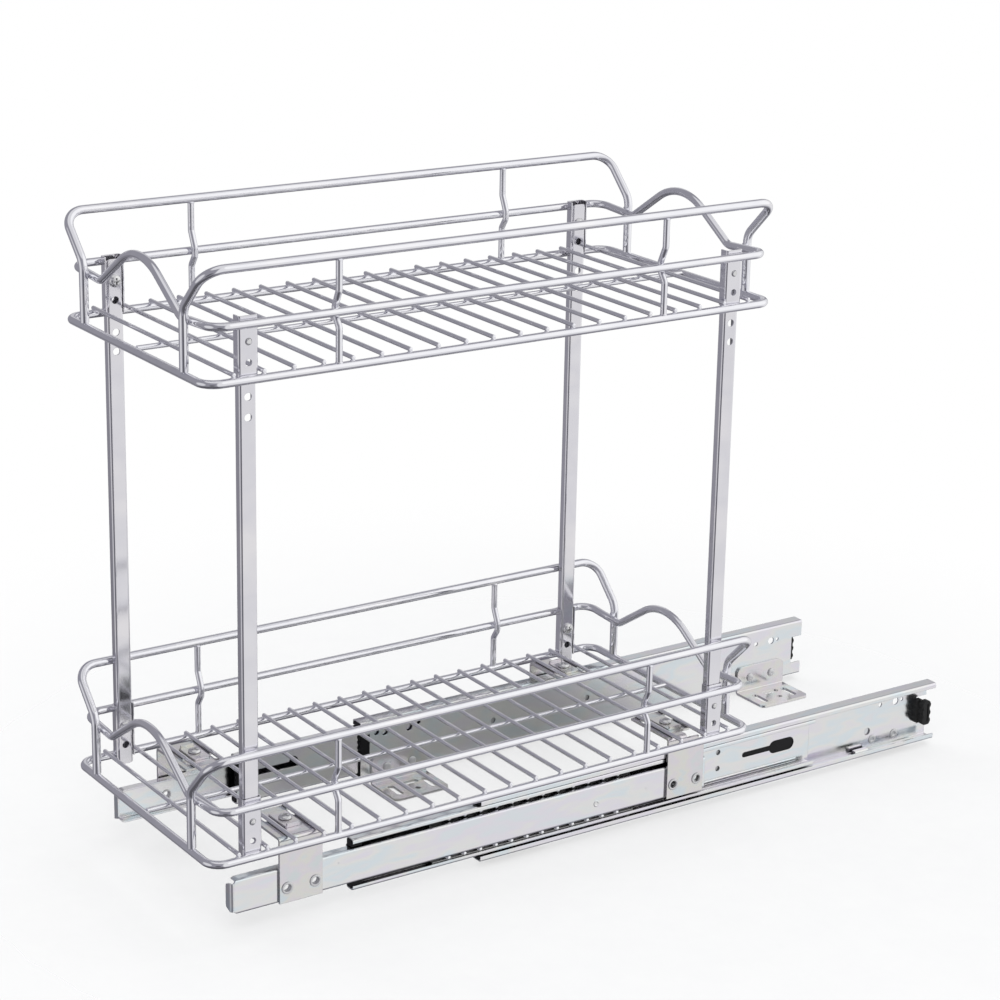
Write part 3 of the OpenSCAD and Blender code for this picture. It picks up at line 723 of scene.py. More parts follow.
def make_scatter() -> GeometryTool:
    """Makes the tree that sets a piece on each point of its input.

    Returns:
        The tool. It reads each copy's turn and size from the carrier's attributes.
    """
    tool = GeometryTool("placed_pieces", {
        "Piece": "NodeSocketObject",
        "Material": "NodeSocketMaterial",
    })
    tree, start = tool.tree, tool.start.outputs
    turn, size = (
        add_node(tree, "GeometryNodeInputNamedAttribute", {"Name": name}, data_type="FLOAT_VECTOR")
        for name in ("turn", "size")
    )
    piece = add_node(tree, "GeometryNodeObjectInfo", {"Object": start["Piece"]})
    tool.end(add_node(tree, "GeometryNodeInstanceOnPoints", {
        "Points": start["Geometry"],
        "Instance": piece.outputs["Geometry"],
        "Rotation": add_node(tree, "FunctionNodeEulerToRotation", {"Euler": turn}),
        "Scale": size,
    }))
    return tool


SWEEP, ROW, SCATTER = make_sweep(), make_row(), make_scatter()


@dataclass(frozen=True)
class Placing:
    """Where one copy of a piece goes: its place in mm, its Euler turn and its scale."""

    at: Point
    turn: Point = (0.0, 0.0, 0.0)
    size: Point = (1.0, 1.0, 1.0)


# ---------------------------------------------------------------- pieces


@dataclass
class Assembly:
    """Base of the sub-assemblies: makes pieces and hands them to the frame.

    Attributes:
        box_slack: Difference in mm between a piece's box and its solid's that gives a warning.
        thick: Diameter in mm from which a wire counts as thick.
        thick_sides: Sides of a thick wire.
        thin_sides: Sides of a thin wire.
        bend_steps: Pieces in a wire's bend.
    """

    box_slack: float = 0.4
    thick: float = 5.0
    thick_sides: int = 28
    thin_sides: int = 20
    bend_steps: int = 14

    def keep(self, piece: bpy.types.Object, body: str, slot: str, nodes: Sequence[str] = ()) -> None:
        """Hands a piece to the frame and logs it.

        Args:
            piece: The object.
            body: The body it rides on.
            slot: The material slot; not used.
            nodes: The solid that it stands for, or nothing for a form of its own.
        """
        for node in nodes:
            points = [v.co for v in piece.data.vertices]
            off = max(
                abs(end(p[i] for p in points) - corner[i])
                for end, corner in zip((min, max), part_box(node))
                for i in range(3)
            )
            if off > self.box_slack * MM:
                log.warning("%s differs from its solid's box by %.2f mm", piece.name, off / MM)
        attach(piece, body)
        if nodes:
            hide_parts(*nodes)
        log.info("piece %s on %s: %d faces", piece.name, body, len(piece.data.polygons))

    def shaped(self, name: str, mesh: bpy.types.Mesh, finish: Finish) -> bpy.types.Object:
        """Makes an object of a mesh in one finish.

        Args:
            name: Name of the piece.
            mesh: Its mesh.
            finish: Its finish.

        Returns:
            The object.
        """
        mesh.materials.append(finish.material())
        return add_object(name, mesh)

    def wire(
        self, name: str, points: Sequence[Point], bends: Sequence[float], diameter: float,
        closed: bool = False,
    ) -> bpy.types.Object:
        """Sweeps a chrome wire.

        Args:
            name: Name of the piece.
            points: Corners of its centre line, mm.
            bends: Bend radius at each corner, mm.
            diameter: Wire thickness, mm.
            closed: Whether the wire returns to its start.

        Returns:
            The object.
        """
        carrier = bpy.data.meshes.new(name)
        last = len(points) - 1
        edges = [(i, i + 1) for i in range(last)] + ([(last, 0)] if closed else [])
        carrier.from_pydata([Vector(p) * MM for p in points], edges, [])
        bend = carrier.attributes.new("bend", "FLOAT", "POINT")
        bend.data.foreach_set("value", [b * MM for b in bends])
        return SWEEP.run(name, carrier, {
            "Diameter": diameter * MM,
            "Sides": self.thick_sides if diameter > self.thick else self.thin_sides,
            "Bend Steps": self.bend_steps,
            "Material": CHROME.material(),
        })

    def scatter(
        self, name: str, shape: bpy.types.Mesh, places: Sequence[Placing], finish: Finish
    ) -> bpy.types.Object:
        """Sets copies of a shape on places.

        Args:
            name: Name of the piece.
            shape: The repeated mesh.
            places: Where each copy goes.
            finish: Its finish.

        Returns:
            One object with all copies.
        """
        carrier = bpy.data.meshes.new(name)
        carrier.from_pydata([Vector(p.at) * MM for p in places], [], [])
        for key in ("turn", "size"):
            values = carrier.attributes.new(key, "FLOAT_VECTOR", "POINT")
            values.data.foreach_set("vector", [c for p in places for c in getattr(p, key)])
        piece = bpy.data.objects.new(name + "_shape", shape)
        made = SCATTER.run(name, carrier, {"Piece": piece, "Material": finish.material()})
        bpy.data.objects.remove(piece)
        return made


def join(name: str, pieces: Sequence[bpy.types.Object]) -> bpy.types.Object:
    """Joins objects of one body into one, keeping their materials.

    Args:
        name: Name of the result.
        pieces: The objects, removed here.

    Returns:
        The joined object.
    """
    bm = bmesh.new()
    materials: list[bpy.types.Material] = []
    for piece in pieces:
        start = len(bm.faces)
        bm.from_mesh(piece.data)
        own = list(piece.data.materials)
        materials += [m for m in own if m not in materials]
        for face in bm.faces[start:]:
            face.material_index = materials.index(own[face.material_index])
        bpy.data.objects.remove(piece)
    mesh = bpy.data.meshes.new(name)
    bm.to_mesh(mesh)
    bm.free()
    for material in materials:
        mesh.materials.append(material)
    return add_object(name, mesh)


class Bead(Enum):
    """Half sizes of a weld bead along X, Y and Z in mm, by the wires that it joins."""

    CROSS = (1.9, 2.1, 0.9)
    CENTRE = (1.5, 1.5, 0.6)
    UPRIGHT = (2.7, 2.9, 1.0)
    STEP = (0.8, 2.4, 2.4)
    FOOT = (3.4, 3.1, 1.1)
    LOOP = (2.6, 0.8, 2.2)


@dataclass
class Basket(Assembly):
    """One wire basket with its sockets. Sizes are in mm.

    Attributes:
        tier: Which basket.
        uprights_at: Where the uprights stand, as numbers of cross wires. A half lies between two.
        upright_r: Bend radius of the uprights.
        steps: Height above the middle rail of the corners of an upright's step, from below.
        cross_bead: How far inward and upward of the frame wire the cross wires' beads lie.
        step_bead: Place of the bead between an upright's step and the middle rail, as a share of
            the step.
        loop_bead_y: Distance of the beads between top and middle rail from the basket's end.
        uneven: How uneven a bead is, as a share of its size.
    """

    tier: Tier = Tier.LOWER
    uprights_at: Pair = (4.5, S.cross_count - 3.5)
    upright_r: float = 5.0
    steps: tuple[float, ...] = (-11.0, -3.0, 3.0, 15.0)
    cross_bead: Pair = (0.9, 2.75)
    step_bead: float = 0.54
    loop_bead_y: float = 3.1
    uneven: float = 0.1

    @property
    def word(self) -> str:
        """The tier's word in the node names."""
        return self.tier.word

    @property
    def step(self) -> float:
        """How far inward the uprights pass the middle rail, in mm."""
        return (S.mid_d + S.upright_d) / 2 + S.gap

    def point(self, x: float, y: float, z: float) -> Point:
        """The place of a point given behind the front wire and above the frame wire, all in mm."""
        return x, S.front + y, self.tier.value + z

    def single(
        self, node: str, points: Sequence[Point], bends: Sequence[float], diameter: float,
        closed: bool = False,
    ) -> None:
        """Sweeps a wire that stands for one node.

        Args:
            node: The node's name after the tier's word.
            points: Corners of its centre line, mm.
            bends: Bend radii, mm.
            diameter: Wire thickness, mm.
            closed: Whether it returns to its start.
        """
        name = f"{self.word}_{node}"
        piece = self.wire(name + "_swept", points, bends, diameter, closed)
        self.keep(piece, "carriage", "chrome_wire", [name])

    def rails(self) -> None:
        """Sweeps the frame wire, the middle rail and the two top rails."""
        w, length = S.half_w, S.length
        corners = [(w, 0), (-w, 0), (-w, length), (w, length)]
        frame_line = [self.point(x, y, 0) for x, y in corners]
        self.single("frame_wire", frame_line, [S.corner_r] * 4, S.frame_d, True)
        inset = (S.top_d + S.mid_d) / 2 + S.gap
        low = S.mid_z - S.dip_drop
        end = [(w, S.mid_z), (S.dip_x, low), (0, S.arch_z), (-S.dip_x, low), (-w, S.mid_z)]
        loop = [self.point(x, inset, z) for x, z in end]
        loop += [self.point(x, length - inset, z) for x, z in reversed(end)]
        bends = [S.corner_r, S.dip_r, S.arch_r, S.dip_r, S.corner_r] * 2
        self.single("mid_rail", loop, bends, S.mid_d, True)
        foot = S.frame_d / 2 + S.gap
        for side in Side:
            half = [(S.foot_x, foot), (S.foot_x, S.knee_z), (w, S.top_z)]
            line = [self.point(side.value * x, 0, z) for x, z in half]
            line += [self.point(side.value * x, length, z) for x, z in reversed(half)]
            self.single(f"top_rail_{side.word}", line, [0] + [S.top_r] * 4 + [0], S.top_d)

    def floor(self) -> None:
        """Lays the cross wires and the long wire under them."""
        half, far, parts = S.cross_d / 2, 2 * S.half_w, 8
        tip = [(0.0, 0.0), (half * 0.8, 0.04), (half * 0.94, 0.18), (half, 0.5)]
        shaft = [(half, far * k / parts) for k in range(1, parts)]
        rod = lathe("cross_wire", tip + shaft + [(r, far - h) for r, h in reversed(tip)], 18)
        end = Vector(self.point(-S.half_w, S.cross_inset, S.cross_z)) * MM
        rod.transform(Matrix.Translation(end) @ Matrix.Rotation(math.pi / 2, 4, "Y"))
        place = rod.attributes.new(Grain.WIRE.value, "FLOAT_VECTOR", "POINT")
        flat = [c for v in rod.vertices for c in (v.co.y, v.co.z, v.co.x)]
        place.data.foreach_set("vector", flat)
        rods = ROW.run(f"{self.word}_cross_wires_laid", rod, {
            "Count": S.cross_count,
            "Step": (0, S.cross_pitch * MM, 0),
            "Material": CHROME.material(),
        })
        self.keep(rods, "carriage", "chrome_wire", [f"{self.word}_cross_wires"])
        z = S.cross_z - (S.cross_d + S.centre_d) / 2 - S.gap
        inset = S.frame_d / 2 + S.gap
        line = [self.point(0, inset, z), self.point(0, S.length - inset, z)]
        self.single("centre_wire", line, [0, 0], S.centre_d)

    def uprights(self) -> None:
        """Sweeps the four uprights that step round the middle rail."""
        foot = S.frame_d / 2 + S.gap
        head = S.top_z - S.top_d / 2 - S.gap
        heights = [foot] + [S.mid_z + z for z in self.steps] + [head]
        line = list(zip((0, 0, self.step, self.step, 0, 0), heights))
        bends = [0] + [self.upright_r] * len(self.steps) + [0]
        wires = []
        for side in Side:
            for index in self.uprights_at:
                y = S.wire_y(index) - S.front
                points = [self.point(side.value * (S.half_w - x), y, z) for x, z in line]
                wires.append(self.wire(f"upright_{len(wires)}", points, bends, S.upright_d))
        piece = join(f"{self.word}_upright_wires_swept", wires)
        self.keep(piece, "carriage", "chrome_wire", [f"{self.word}_upright_wires"])

    def bead(self) -> bpy.types.Mesh:
        """Makes a slightly uneven bead as a spot weld squeezes out, one mm in radius.

        Returns:
            The mesh.
        """
        bm = bmesh.new()
        bmesh.ops.create_icosphere(bm, subdivisions=2, radius=MM)
        # The waves are about as long as the bead is wide
        for v in bm.verts:
            wave = math.sin(v.co.x * 2600 + 1.0) * math.cos(v.co.y * 2100 + v.co.z * 1700)
            v.co *= 1 + self.uneven * wave
        return smooth_mesh("bead", bm, ALL_SMOOTH)

    def welds(self) -> None:
        """Sets a bead where each wire meets another."""
        spots: list[tuple[float, float, float, Bead]] = []
        inward, upward = self.cross_bead
        for i in range(1, S.cross_count + 1):
            y = S.wire_y(i) - S.front
            spots += [(side.value * (S.half_w - inward), y, upward, Bead.CROSS) for side in Side]
            spots.append((0, y, S.cross_z - S.cross_d / 2 - 2 * S.gap, Bead.CENTRE))
        low, high = S.frame_d / 2 + 2 * S.gap, S.top_z - S.top_d / 2 - S.gap
        for side in Side:
            x, foot_x = side.value * S.half_w, side.value * S.foot_x
            for index in self.uprights_at:
                y = S.wire_y(index) - S.front
                spots += [(x, y, low, Bead.UPRIGHT), (x, y, high, Bead.UPRIGHT)]
                spots.append((x - side.value * self.step * self.step_bead, y, S.mid_z, Bead.STEP))
            for y, into in ((0, self.loop_bead_y), (S.length, -self.loop_bead_y)):
                spots += [(foot_x, y, low, Bead.FOOT), (foot_x, y + into, S.mid_z, Bead.LOOP)]
        places = [Placing(self.point(x, y, z), size=bead.value) for x, y, z, bead in spots]
        piece = self.scatter(f"{self.word}_weld_beads", self.bead(), places, CHROME)
        self.keep(piece, "carriage", "chrome_wire")

    def build(self) -> None:
        """Builds the basket."""
        self.rails()
        self.floor()
        self.uprights()
        self.welds()
        dress([f"{self.word}_post_sockets"], PLATED)


def dress(nodes: Sequence[str], finish: Finish) -> None:
    """Gives solids that stay as they are their finish.

    Args:
        nodes: The nodes' names.
        finish: The finish.
    """
    for name in nodes:
        mesh = frame["nodes"][name].data
        mesh.materials.clear()
        mesh.materials.append(finish.material())
        log.info("solid %s: %s", name, finish.name)


@dataclass(frozen=True)
class Screw:
    """A pan head screw with a cross recess, its head standing on Z = 0. Sizes are in mm.

    Attributes:
        head_d: Head diameter.
        head_h: Head height.
        shank_d: Outer diameter of the thread.
        shank: Length of the shank.
        pitch: Thread pitch.
        thread: Depth of the thread.
        rim: Radius of the head's rim.
        crown: Height at which the head's crown starts.
    """

    head_d: float
    head_h: float
    shank_d: float
    shank: float
    pitch: float = 0.8
    thread: float = 0.42
    rim: float = 0.7
    crown: float = 1.15

    def recess(self) -> bpy.types.Mesh:
        """Makes the closed cutter for the cross recess, which narrows downward.

        Returns:
            The mesh.
        """
        # Half the width of the cross, and its depth, as shares of the head's size
        half, depth = self.head_d * 0.28, self.head_h * 0.8
        arm = half * 0.26
        quarter = [(arm, -arm), (half, -arm * 0.8), (half, arm * 0.8)]
        outline = [
            (u * math.cos(a) - v * math.sin(a), u * math.sin(a) + v * math.cos(a))
            for a in (math.pi / 2 * turn for turn in range(4))
            for u, v in quarter
        ]
        # Height above the head and width of the cutter at each level
        levels = [(1.0, 1.12), (-depth * 0.45, 0.82), (-depth, 0.42)]
        bm = bmesh.new()
        rings = [
            [bm.verts.new((x * share * MM, y * share * MM, (self.head_h + z) * MM)) for x, y in outline]
            for z, share in levels
        ]
        loft(bm, rings)
        return smooth_mesh("recess", bm)

    def threads(self) -> bpy.types.Mesh:
        """Makes the threaded shank below Z = 0, with a blunt point.

        Returns:
            The mesh.
        """
        # Four rows of points make one turn, the thread starts after the first three rows, and the
        # point is three quarters as thick as the shank
        sides, rows = 20, int(self.shank / self.pitch * 4)
        faded, point = 3, 0.75
        bm = bmesh.new()
        rings = []
        for j in range(rows + 1):
            z = -self.shank * j / rows
            taper = min(1.0, point + (rows - j) * 0.06)
            depth = self.thread * (0.3 if j < faded else 1)
            ring = []
            for i in range(sides):
                phase = (z / self.pitch + i / sides) % 1.0
                radius = (self.shank_d / 2 - depth * abs(phase - 0.5) * 2) * taper * MM
                a = 2 * math.pi * i / sides
                ring.append(bm.verts.new((radius * math.cos(a), radius * math.sin(a), z * MM)))
            rings.append(ring)
        loft(bm, rings)
        return smooth_mesh("shank", bm, 60)

    def mesh(self, name: str) -> bpy.types.Mesh:
        """Makes the screw.

        Args:
            name: Name of the mesh.

        Returns:
            The mesh.
        """
        r, rise = self.head_d / 2, self.head_h - self.crown
        profile = [(0, 0), (r - 0.55, 0)] + arc((r - self.rim, 0.75), self.rim, -75, 30, 5)
        profile += [
            (r * math.cos(math.radians(t)) * 0.93, self.crown + rise * math.sin(math.radians(t)))
            for t in (28, 40, 52, 64, 76)
        ]
        profile.append((0, self.head_h))
        bm = bmesh.new()
        for part in (cut(lathe(name, profile, 40), self.recess()), self.threads()):
            bm.from_mesh(part)
            bpy.data.meshes.remove(part)
        return smooth_mesh(name, bm, 42)


@dataclass
class Posts(Assembly):
    """The four channel posts and their eight screws. Sizes are in mm.

    The webs of all four posts face +X, and each screw's head is on the web's inner face.

    Attributes:
        head_d: Diameter of a screw's head.
        head_h: Height of the head.
        screw_d: Outer diameter of the thread.
        screw_z: Height of a screw above the frame wire.
        shank_end: Distance of a screw's end from the part's middle.
        post_y: Distances of the posts behind the front wire.
        web_face: Distance of the outer face of a right post's web from the part's middle.
        depth: Depth of the channel.
        width: Width of the channel.
        wall: Thickness of its sheet.
    """

    head_d: float = 9.6
    head_h: float = 3.2
    screw_d: float = 4.8
    screw_z: float = 25.5
    shank_end: float = 105.45
    post_y: Pair = (33.915, 446.085)
    web_face: float = 103.0
    depth: float = 6.5
    width: float = 12.6
    wall: float = 1.0

    def screws(self, tier: Tier, side: Side) -> bpy.types.Object:
        """Builds the two screws of one side.

        Args:
            tier: Which basket.
            side: Which side.

        Returns:
            The object.
        """
        seat = self.web_face - S.gap - (self.wall if side is Side.RIGHT else self.depth)
        places = [
            Placing((side.value * seat, S.front + y, tier.value + self.screw_z), side.inward())
            for y in self.post_y
        ]
        screw = Screw(self.head_d, self.head_h, self.screw_d, self.shank_end - seat)
        return self.scatter(f"post_screws_{side.word}", screw.mesh("post_screw"), places, SCREW)

    def build(self) -> None:
        """Builds the screws and finishes the posts."""
        for tier in Tier:
            name = f"{tier.word}_post_screws"
            piece = join(name + "_detailed", [self.screws(tier, side) for side in Side])
            self.keep(piece, "carriage", "screw_steel", [name])
        for side in Side:
            for end, y in zip(("front", "rear"), self.post_y):
                name = f"post_{end}_{side.word}"
                dress([name], PLATED)
                self.dull_inside(name, side, S.front + y)

    def dull_inside(self, node: str, side: Side, y: float) -> None:
        """Gives the faces inside a post's channel the dull grey finish, as painted shade.

        Args:
            node: The post's node.
            side: Which side.
            y: The post's middle, mm.
        """
        outer = self.web_face if side is Side.RIGHT else self.depth - self.web_face
        web, half = outer - self.wall, self.width / 2 - self.wall
        slack = 0.05
        mesh = frame["nodes"][node].data
        mesh.materials.append(INSIDE_SHADE.material())
        for face in mesh.polygons:
            across, along = face.center.x / MM, abs(face.center.y / MM - y)
            if across < web + slack and along < half + slack:
                face.material_index = 1


@dataclass(frozen=True)
class Cage:
    """A stamped ball cage with two rows of balls. Sizes are in mm.

    Attributes:
        name: The node's name before the side.
        body: Its body before the side.
        y: The strip's front end.
        ball_x: Distance of the balls from the slide's inner side.
        ball_z: Distance of the rows from the slide's middle.
        ball_d: Ball diameter.
        strip_x: Distance of the strip's web from the slide's inner side.
        reach: Width of its flanges.
        sheet: Thickness of the strip.
    """

    name: str
    body: str
    y: float
    ball_x: float
    ball_z: float
    ball_d: float
    strip_x: float
    reach: float
    sheet: float = 0.6

    def section(self) -> Outline:
        """Gives the strip's U section with its cut corners.

        Returns:
            X and Z from the slide's inner side and middle.
        """
        a, t, far = self.strip_x, self.sheet, self.strip_x + self.reach
        top = self.ball_z + t / 2
        outer, inner = 0.8, 1.0
        half = [(a, top - outer), (a + outer, top), (far, top), (far, top - t), (a + inner, top - t),
                (a + t, top - inner)]
        return [(x, -z) for x, z in half] + half[::-1]


@dataclass
class Slide(Assembly):
    """One ball slide with its stops, bumper, plates and clamps. Sizes are in mm.

    Attributes:
        side: Which side.
        cages: Its two ball cages.
        plate: How far the outer face of a plate on the slide stands off the slide.
        web_x: Distance of the middle member's web from the slide's inner side.
        clamps_at: Where the clamps sit, as numbers of cross wires. A half lies between two.
        eyelets: Shift of a carrier plate's middle from its clamp, half the distance between its
            eyelets, and their height.
        floor_rivets: Distances of the floor plates' middles from the fixed member's front end.
        rivet_gap: Half the distance between the rivets of a floor plate.
        rivet_z: Their height.
        bead_z: Height of the middle member's bead above the slide's middle.
        bead_ends: Distances of the bead's ends from the middle member's rear end.
        stop_z: Height above the slide's middle of the floor that the outer cage's stop rises from.
        stop_y: Distance of the stop behind the baskets' front wire.
        stop_length: Its length.
        slot: Distances of the slot's neck, of the start and of the end of its wide part from the
            middle member's rear end.
        slot_z: Height of the slot above the slide's middle.
        slot_r: Radii of the dark plate that stands in for the slot's shade, in the narrow and in the wide
            part of the slot.
        catch_depths: How far the two faces of that dark plate lie below the face of the web.
        tab_t: Half the thickness of the inner member's end tab.
        tab_r: Bend radius of the tab.
        tab_ahead: How far the tab's middle lies ahead of the member.
        bosses: Distance behind the front wire, height and size of the inner member's bosses.
        clamp_screw: The screw of a wire clamp.
        clamp_x: Distance of that screw from the slide's outer side.
        clamp_top: Height of the clamp's top above the underside of the cross wires.
    """

    side: Side = Side.RIGHT
    cages: tuple[Cage, ...] = (
        Cage("outer_ball_cage", "outer_cage", S.outer_y + S.outer_cage_y, 6.5, 22.275, 3.39, 1.5, 8.0),
        Cage("inner_ball_cage", "inner_cage", S.middle_y + S.inner_cage_y, 7.2, 16.4, 5.64, 4.0, 5.8),
    )
    plate: float = 2.1
    web_x: float = 3.6
    clamps_at: Pair = (3.5, 18.5)
    eyelets: Point = (1.4, 11.6, 29.1)
    floor_rivets: Pair = (35.5, 413.0)
    rivet_gap: float = 12.0
    rivet_z: float = 14.0
    bead_z: float = -14.8
    bead_ends: Pair = (141.0, 13.0)
    stop_z: float = -24.0
    stop_y: float = 612.0
    stop_length: float = 14.0
    slot: Point = (67.75, 36.5, 21.5)
    slot_z: float = 1.0
    slot_r: Pair = (2.3, 5.55)
    catch_depths: Pair = (1.15, 0.7)
    tab_t: float = 0.62
    tab_r: float = 1.6
    tab_ahead: float = 1.2
    bosses: tuple[Point, ...] = ((341.0, 29.0, 1.0), (389.0, 31.0, 0.35), (110.0, 37.0, 0.35))
    clamp_screw: Screw = Screw(10.0, 3.0, 4.8, 9.0)
    clamp_x: float = 24.2
    clamp_top: float = 1.65

    @property
    def word(self) -> str:
        """The side's word in the node names."""
        return self.side.word

    @property
    def middle_end(self) -> float:
        """Y of the middle member's rear end in mm."""
        return S.middle_y + S.middle_len

    def spot(self, x: float, y: float, z: float) -> Point:
        """A point on this side, given by its distance from the part's middle, Y and Z in mm."""
        return self.side.value * x, y, z

    def run(self, name: str, outline: Outline, y0: float, y1: float, finish: Finish) -> bpy.types.Object:
        """Runs a section along the slide.

        Args:
            name: Name of the piece.
            outline: X and Z of its section on the right side, mm.
            y0: Start, mm.
            y1: End, mm.
            finish: Its finish.

        Returns:
            The object.
        """
        section = [(self.side.value * x, z) for x, z in outline]
        return self.shaped(name, prism(name, section, y0, y1), finish)

    def cage(self, cage: Cage) -> None:
        """Builds a cage strip with its two rows of balls.

        Args:
            cage: Its sizes.
        """
        outline = [(S.slide_x + x, S.slide_z + z) for x, z in cage.section()]
        strip = self.run(cage.name + "_strip", outline, cage.y, cage.y + S.cage_len, CAGE)
        bm = bmesh.new()
        bmesh.ops.create_icosphere(bm, subdivisions=3, radius=cage.ball_d / 2 * MM)
        first = cage.y + (S.cage_len - (S.ball_count - 1) * S.ball_pitch) / 2
        places = [
            Placing(self.spot(S.slide_x + cage.ball_x, first + i * S.ball_pitch, S.slide_z + row))
            for i in range(S.ball_count)
            for row in (-cage.ball_z, cage.ball_z)
        ]
        balls = self.scatter(cage.name + "_balls", smooth_mesh("ball", bm, ALL_SMOOTH), places, BALL)
        name = f"{cage.name}_{self.word}"
        piece = join(name + "_detailed", [strip, balls])
        self.keep(piece, f"{cage.body}_{self.word}", "ball_cage_steel", [name])

    def carrier_eyelets(self) -> None:
        """Builds the rolled eyelets of the carrier plates, flared at their inner end."""
        bore, shank = 2.6, 3.2
        ring = [(bore + 0.25, -3.35), (bore + 0.4, -3.75), (3.5, -3.95), (4.1, -3.75), (4.15, -3.4)]
        ring += [(shank, -3.36), (shank, -2.0), (shank, 0.0), (4.45, 0.0)]
        ring += arc((4.3, 0.3), 0.35, -60, 90, 5) + arc((3.4, 0.1), 0.6, 80, 170, 5)
        ring += [(bore, -0.3), (bore, -3.1), (bore + 0.25, -3.35)]
        shift, gap, z = self.eyelets
        front, rear = (S.wire_y(index) for index in self.clamps_at)
        places = [
            Placing(self.spot(S.slide_face + self.plate, y + d, z), self.side.outward())
            for y in (front - shift, rear + shift)
            for d in (-gap, gap)
        ]
        name = f"carrier_eyelets_{self.word}"
        piece = self.scatter(name + "_rolled", lathe("eyelet", ring, 36), places, RIVET)
        self.keep(piece, "carriage", "rivet_steel", [name])

    def plate_rivets(self) -> None:
        """Builds the rivets of the floor plates: flush at the front, flared at the rear."""
        angles = [math.radians(t) for t in (10, 25, 40, 55, 70)]
        dome = [(2.0, -0.02), (3.3, 0.0), (3.7, 0.2)]
        dome += [(3.6 * math.cos(a), 0.35 + 0.95 * math.sin(a)) for a in angles]
        dome += [(1.0, 1.27), (0.75, 1.05), (0, 1.0)]
        flush = [(0, -3.15), (2.0, -3.15)]
        flared = [(0, -3.25), (1.1, -3.25), (1.5, -3.75), (2.4, -3.95), (3.4, -3.9), (3.8, -3.65),
                  (3.7, -3.37), (2.0, -3.35)]
        name = f"floor_plate_rivets_{self.word}"
        rows = []
        for end, middle, tail in zip(("front", "rear"), self.floor_rivets, (flush, flared)):
            places = [
                Placing(
                    self.spot(S.slide_x - self.plate, S.outer_y + middle + d, self.rivet_z),
                    self.side.inward(),
                )
                for d in (-self.rivet_gap, self.rivet_gap)
            ]
            rivet = lathe("plate_rivet", tail + dome, 28)
            rows.append(self.scatter(f"{name}_{end}", rivet, places, RIVET))
        self.keep(join(name + "_set", rows), "cabinet_side", "rivet_steel", [name])

    def pressings(self) -> None:
        """Builds the bead pressed in the middle member and the outer cage's stop."""
        web, z = S.slide_x + self.web_x, S.slide_z + self.bead_z
        half = [(-0.05, 1.9), (0.22, 1.4), (0.32, 0.7)]
        bead = [(web + h, z - w) for h, w in half] + [(web + h, z + w) for h, w in reversed(half)]
        name = f"middle_member_bead_{self.word}"
        y0, y1 = (self.middle_end - d for d in self.bead_ends)
        self.keep(self.run(name, bead, y0, y1, ZINC), f"middle_{self.word}", "zinc_steel")
        stop = [(2.2, -0.05), (7.5, -0.05), (7.5, 1.1), (6.6, 2.6), (3.2, 2.6), (2.2, 1.4)]
        outline = [(S.slide_x + x, S.slide_z + self.stop_z + h) for x, h in stop]
        name = f"outer_cage_stop_{self.word}"
        y = S.front + self.stop_y
        self.keep(self.run(name, outline, y, y + self.stop_length, ZINC), "cabinet_side", "zinc_steel")

    def catch(self) -> None:
        """Builds a black plate in the slot near the middle member's rear end, which stands in for the
        shade in the slot.
        """
        narrow, wide = self.slot_r
        neck, start, end = (self.middle_end - d for d in self.slot)
        z, meet = S.slide_z + self.slot_z, math.degrees(math.asin(narrow / wide))
        outline = arc((neck, z), narrow, 90, 270, 8) + arc((start, z), wide, 180 + meet, 270, 5)
        outline += arc((end, z), wide, -90, 90, 12) + arc((start, z), wide, 90, 180 - meet, 5)
        name = f"middle_latch_{self.word}"
        face = S.slide_x + self.web_x
        mesh = prism(name, outline, *sorted(self.side.value * (d - face) for d in self.catch_depths))
        mesh.transform(Matrix.Rotation(math.pi / 2, 4, "Z"))
        self.keep(self.shaped(name, mesh, PLASTIC), f"middle_{self.word}", "black_plastic")

    def end_tab(self) -> None:
        """Builds the tab bent in at the inner member's front end, which closes the channel."""
        x, front = S.slide_face - 0.6, S.inner_y - self.tab_ahead
        r = self.tab_r
        # X, Y and the direction across the sheet, along the tab's middle
        path = [(x, S.inner_y + 1.0, -1.0, 0.0)]
        path += [
            (x - r + r * math.cos(a), front + r - r * math.sin(a), -math.cos(a), math.sin(a))
            for a in (math.radians(d) for d in (0, 22.5, 45, 67.5, 90))
        ]
        path += [(S.slide_x + across, front, 0.0, 1.0) for across in (9.0, 6.4, 5.3, 4.8, 4.6)]
        # Half the tab's height at each of these points: its end is rounded
        heights = [11.0] * 6 + [10.4, 9.6, 9.0, 8.2, 7.2]
        t = self.tab_t
        bm = bmesh.new()
        rings = [
            [
                bm.verts.new(Vector(self.spot(px + nx * k, py + ny * k, S.slide_z + z)) * MM)
                for k, z in ((t, -h), (t, h), (-t, h), (-t, -h))
            ]
            for (px, py, nx, ny), h in zip(path, heights)
        ]
        loft(bm, rings)
        name = f"inner_member_tab_{self.word}"
        self.keep(self.shaped(name, smooth_mesh(name, bm, 40), ZINC), "carriage", "zinc_steel")

    def dimples(self) -> None:
        """Builds the small bosses pressed in the inner member's web."""
        boss = [(0, -0.02), (1.3, 0.0), (1.6, 0.28), (2.1, 0.4), (2.5, 0.25), (2.75, -0.05)]
        places = [
            Placing(self.spot(S.slide_face, S.front + y, z), self.side.outward(), (size,) * 3)
            for y, z, size in self.bosses
        ]
        name = f"inner_member_bosses_{self.word}"
        self.keep(self.scatter(name, lathe("boss", boss, 24), places, ZINC), "carriage", "zinc_steel")

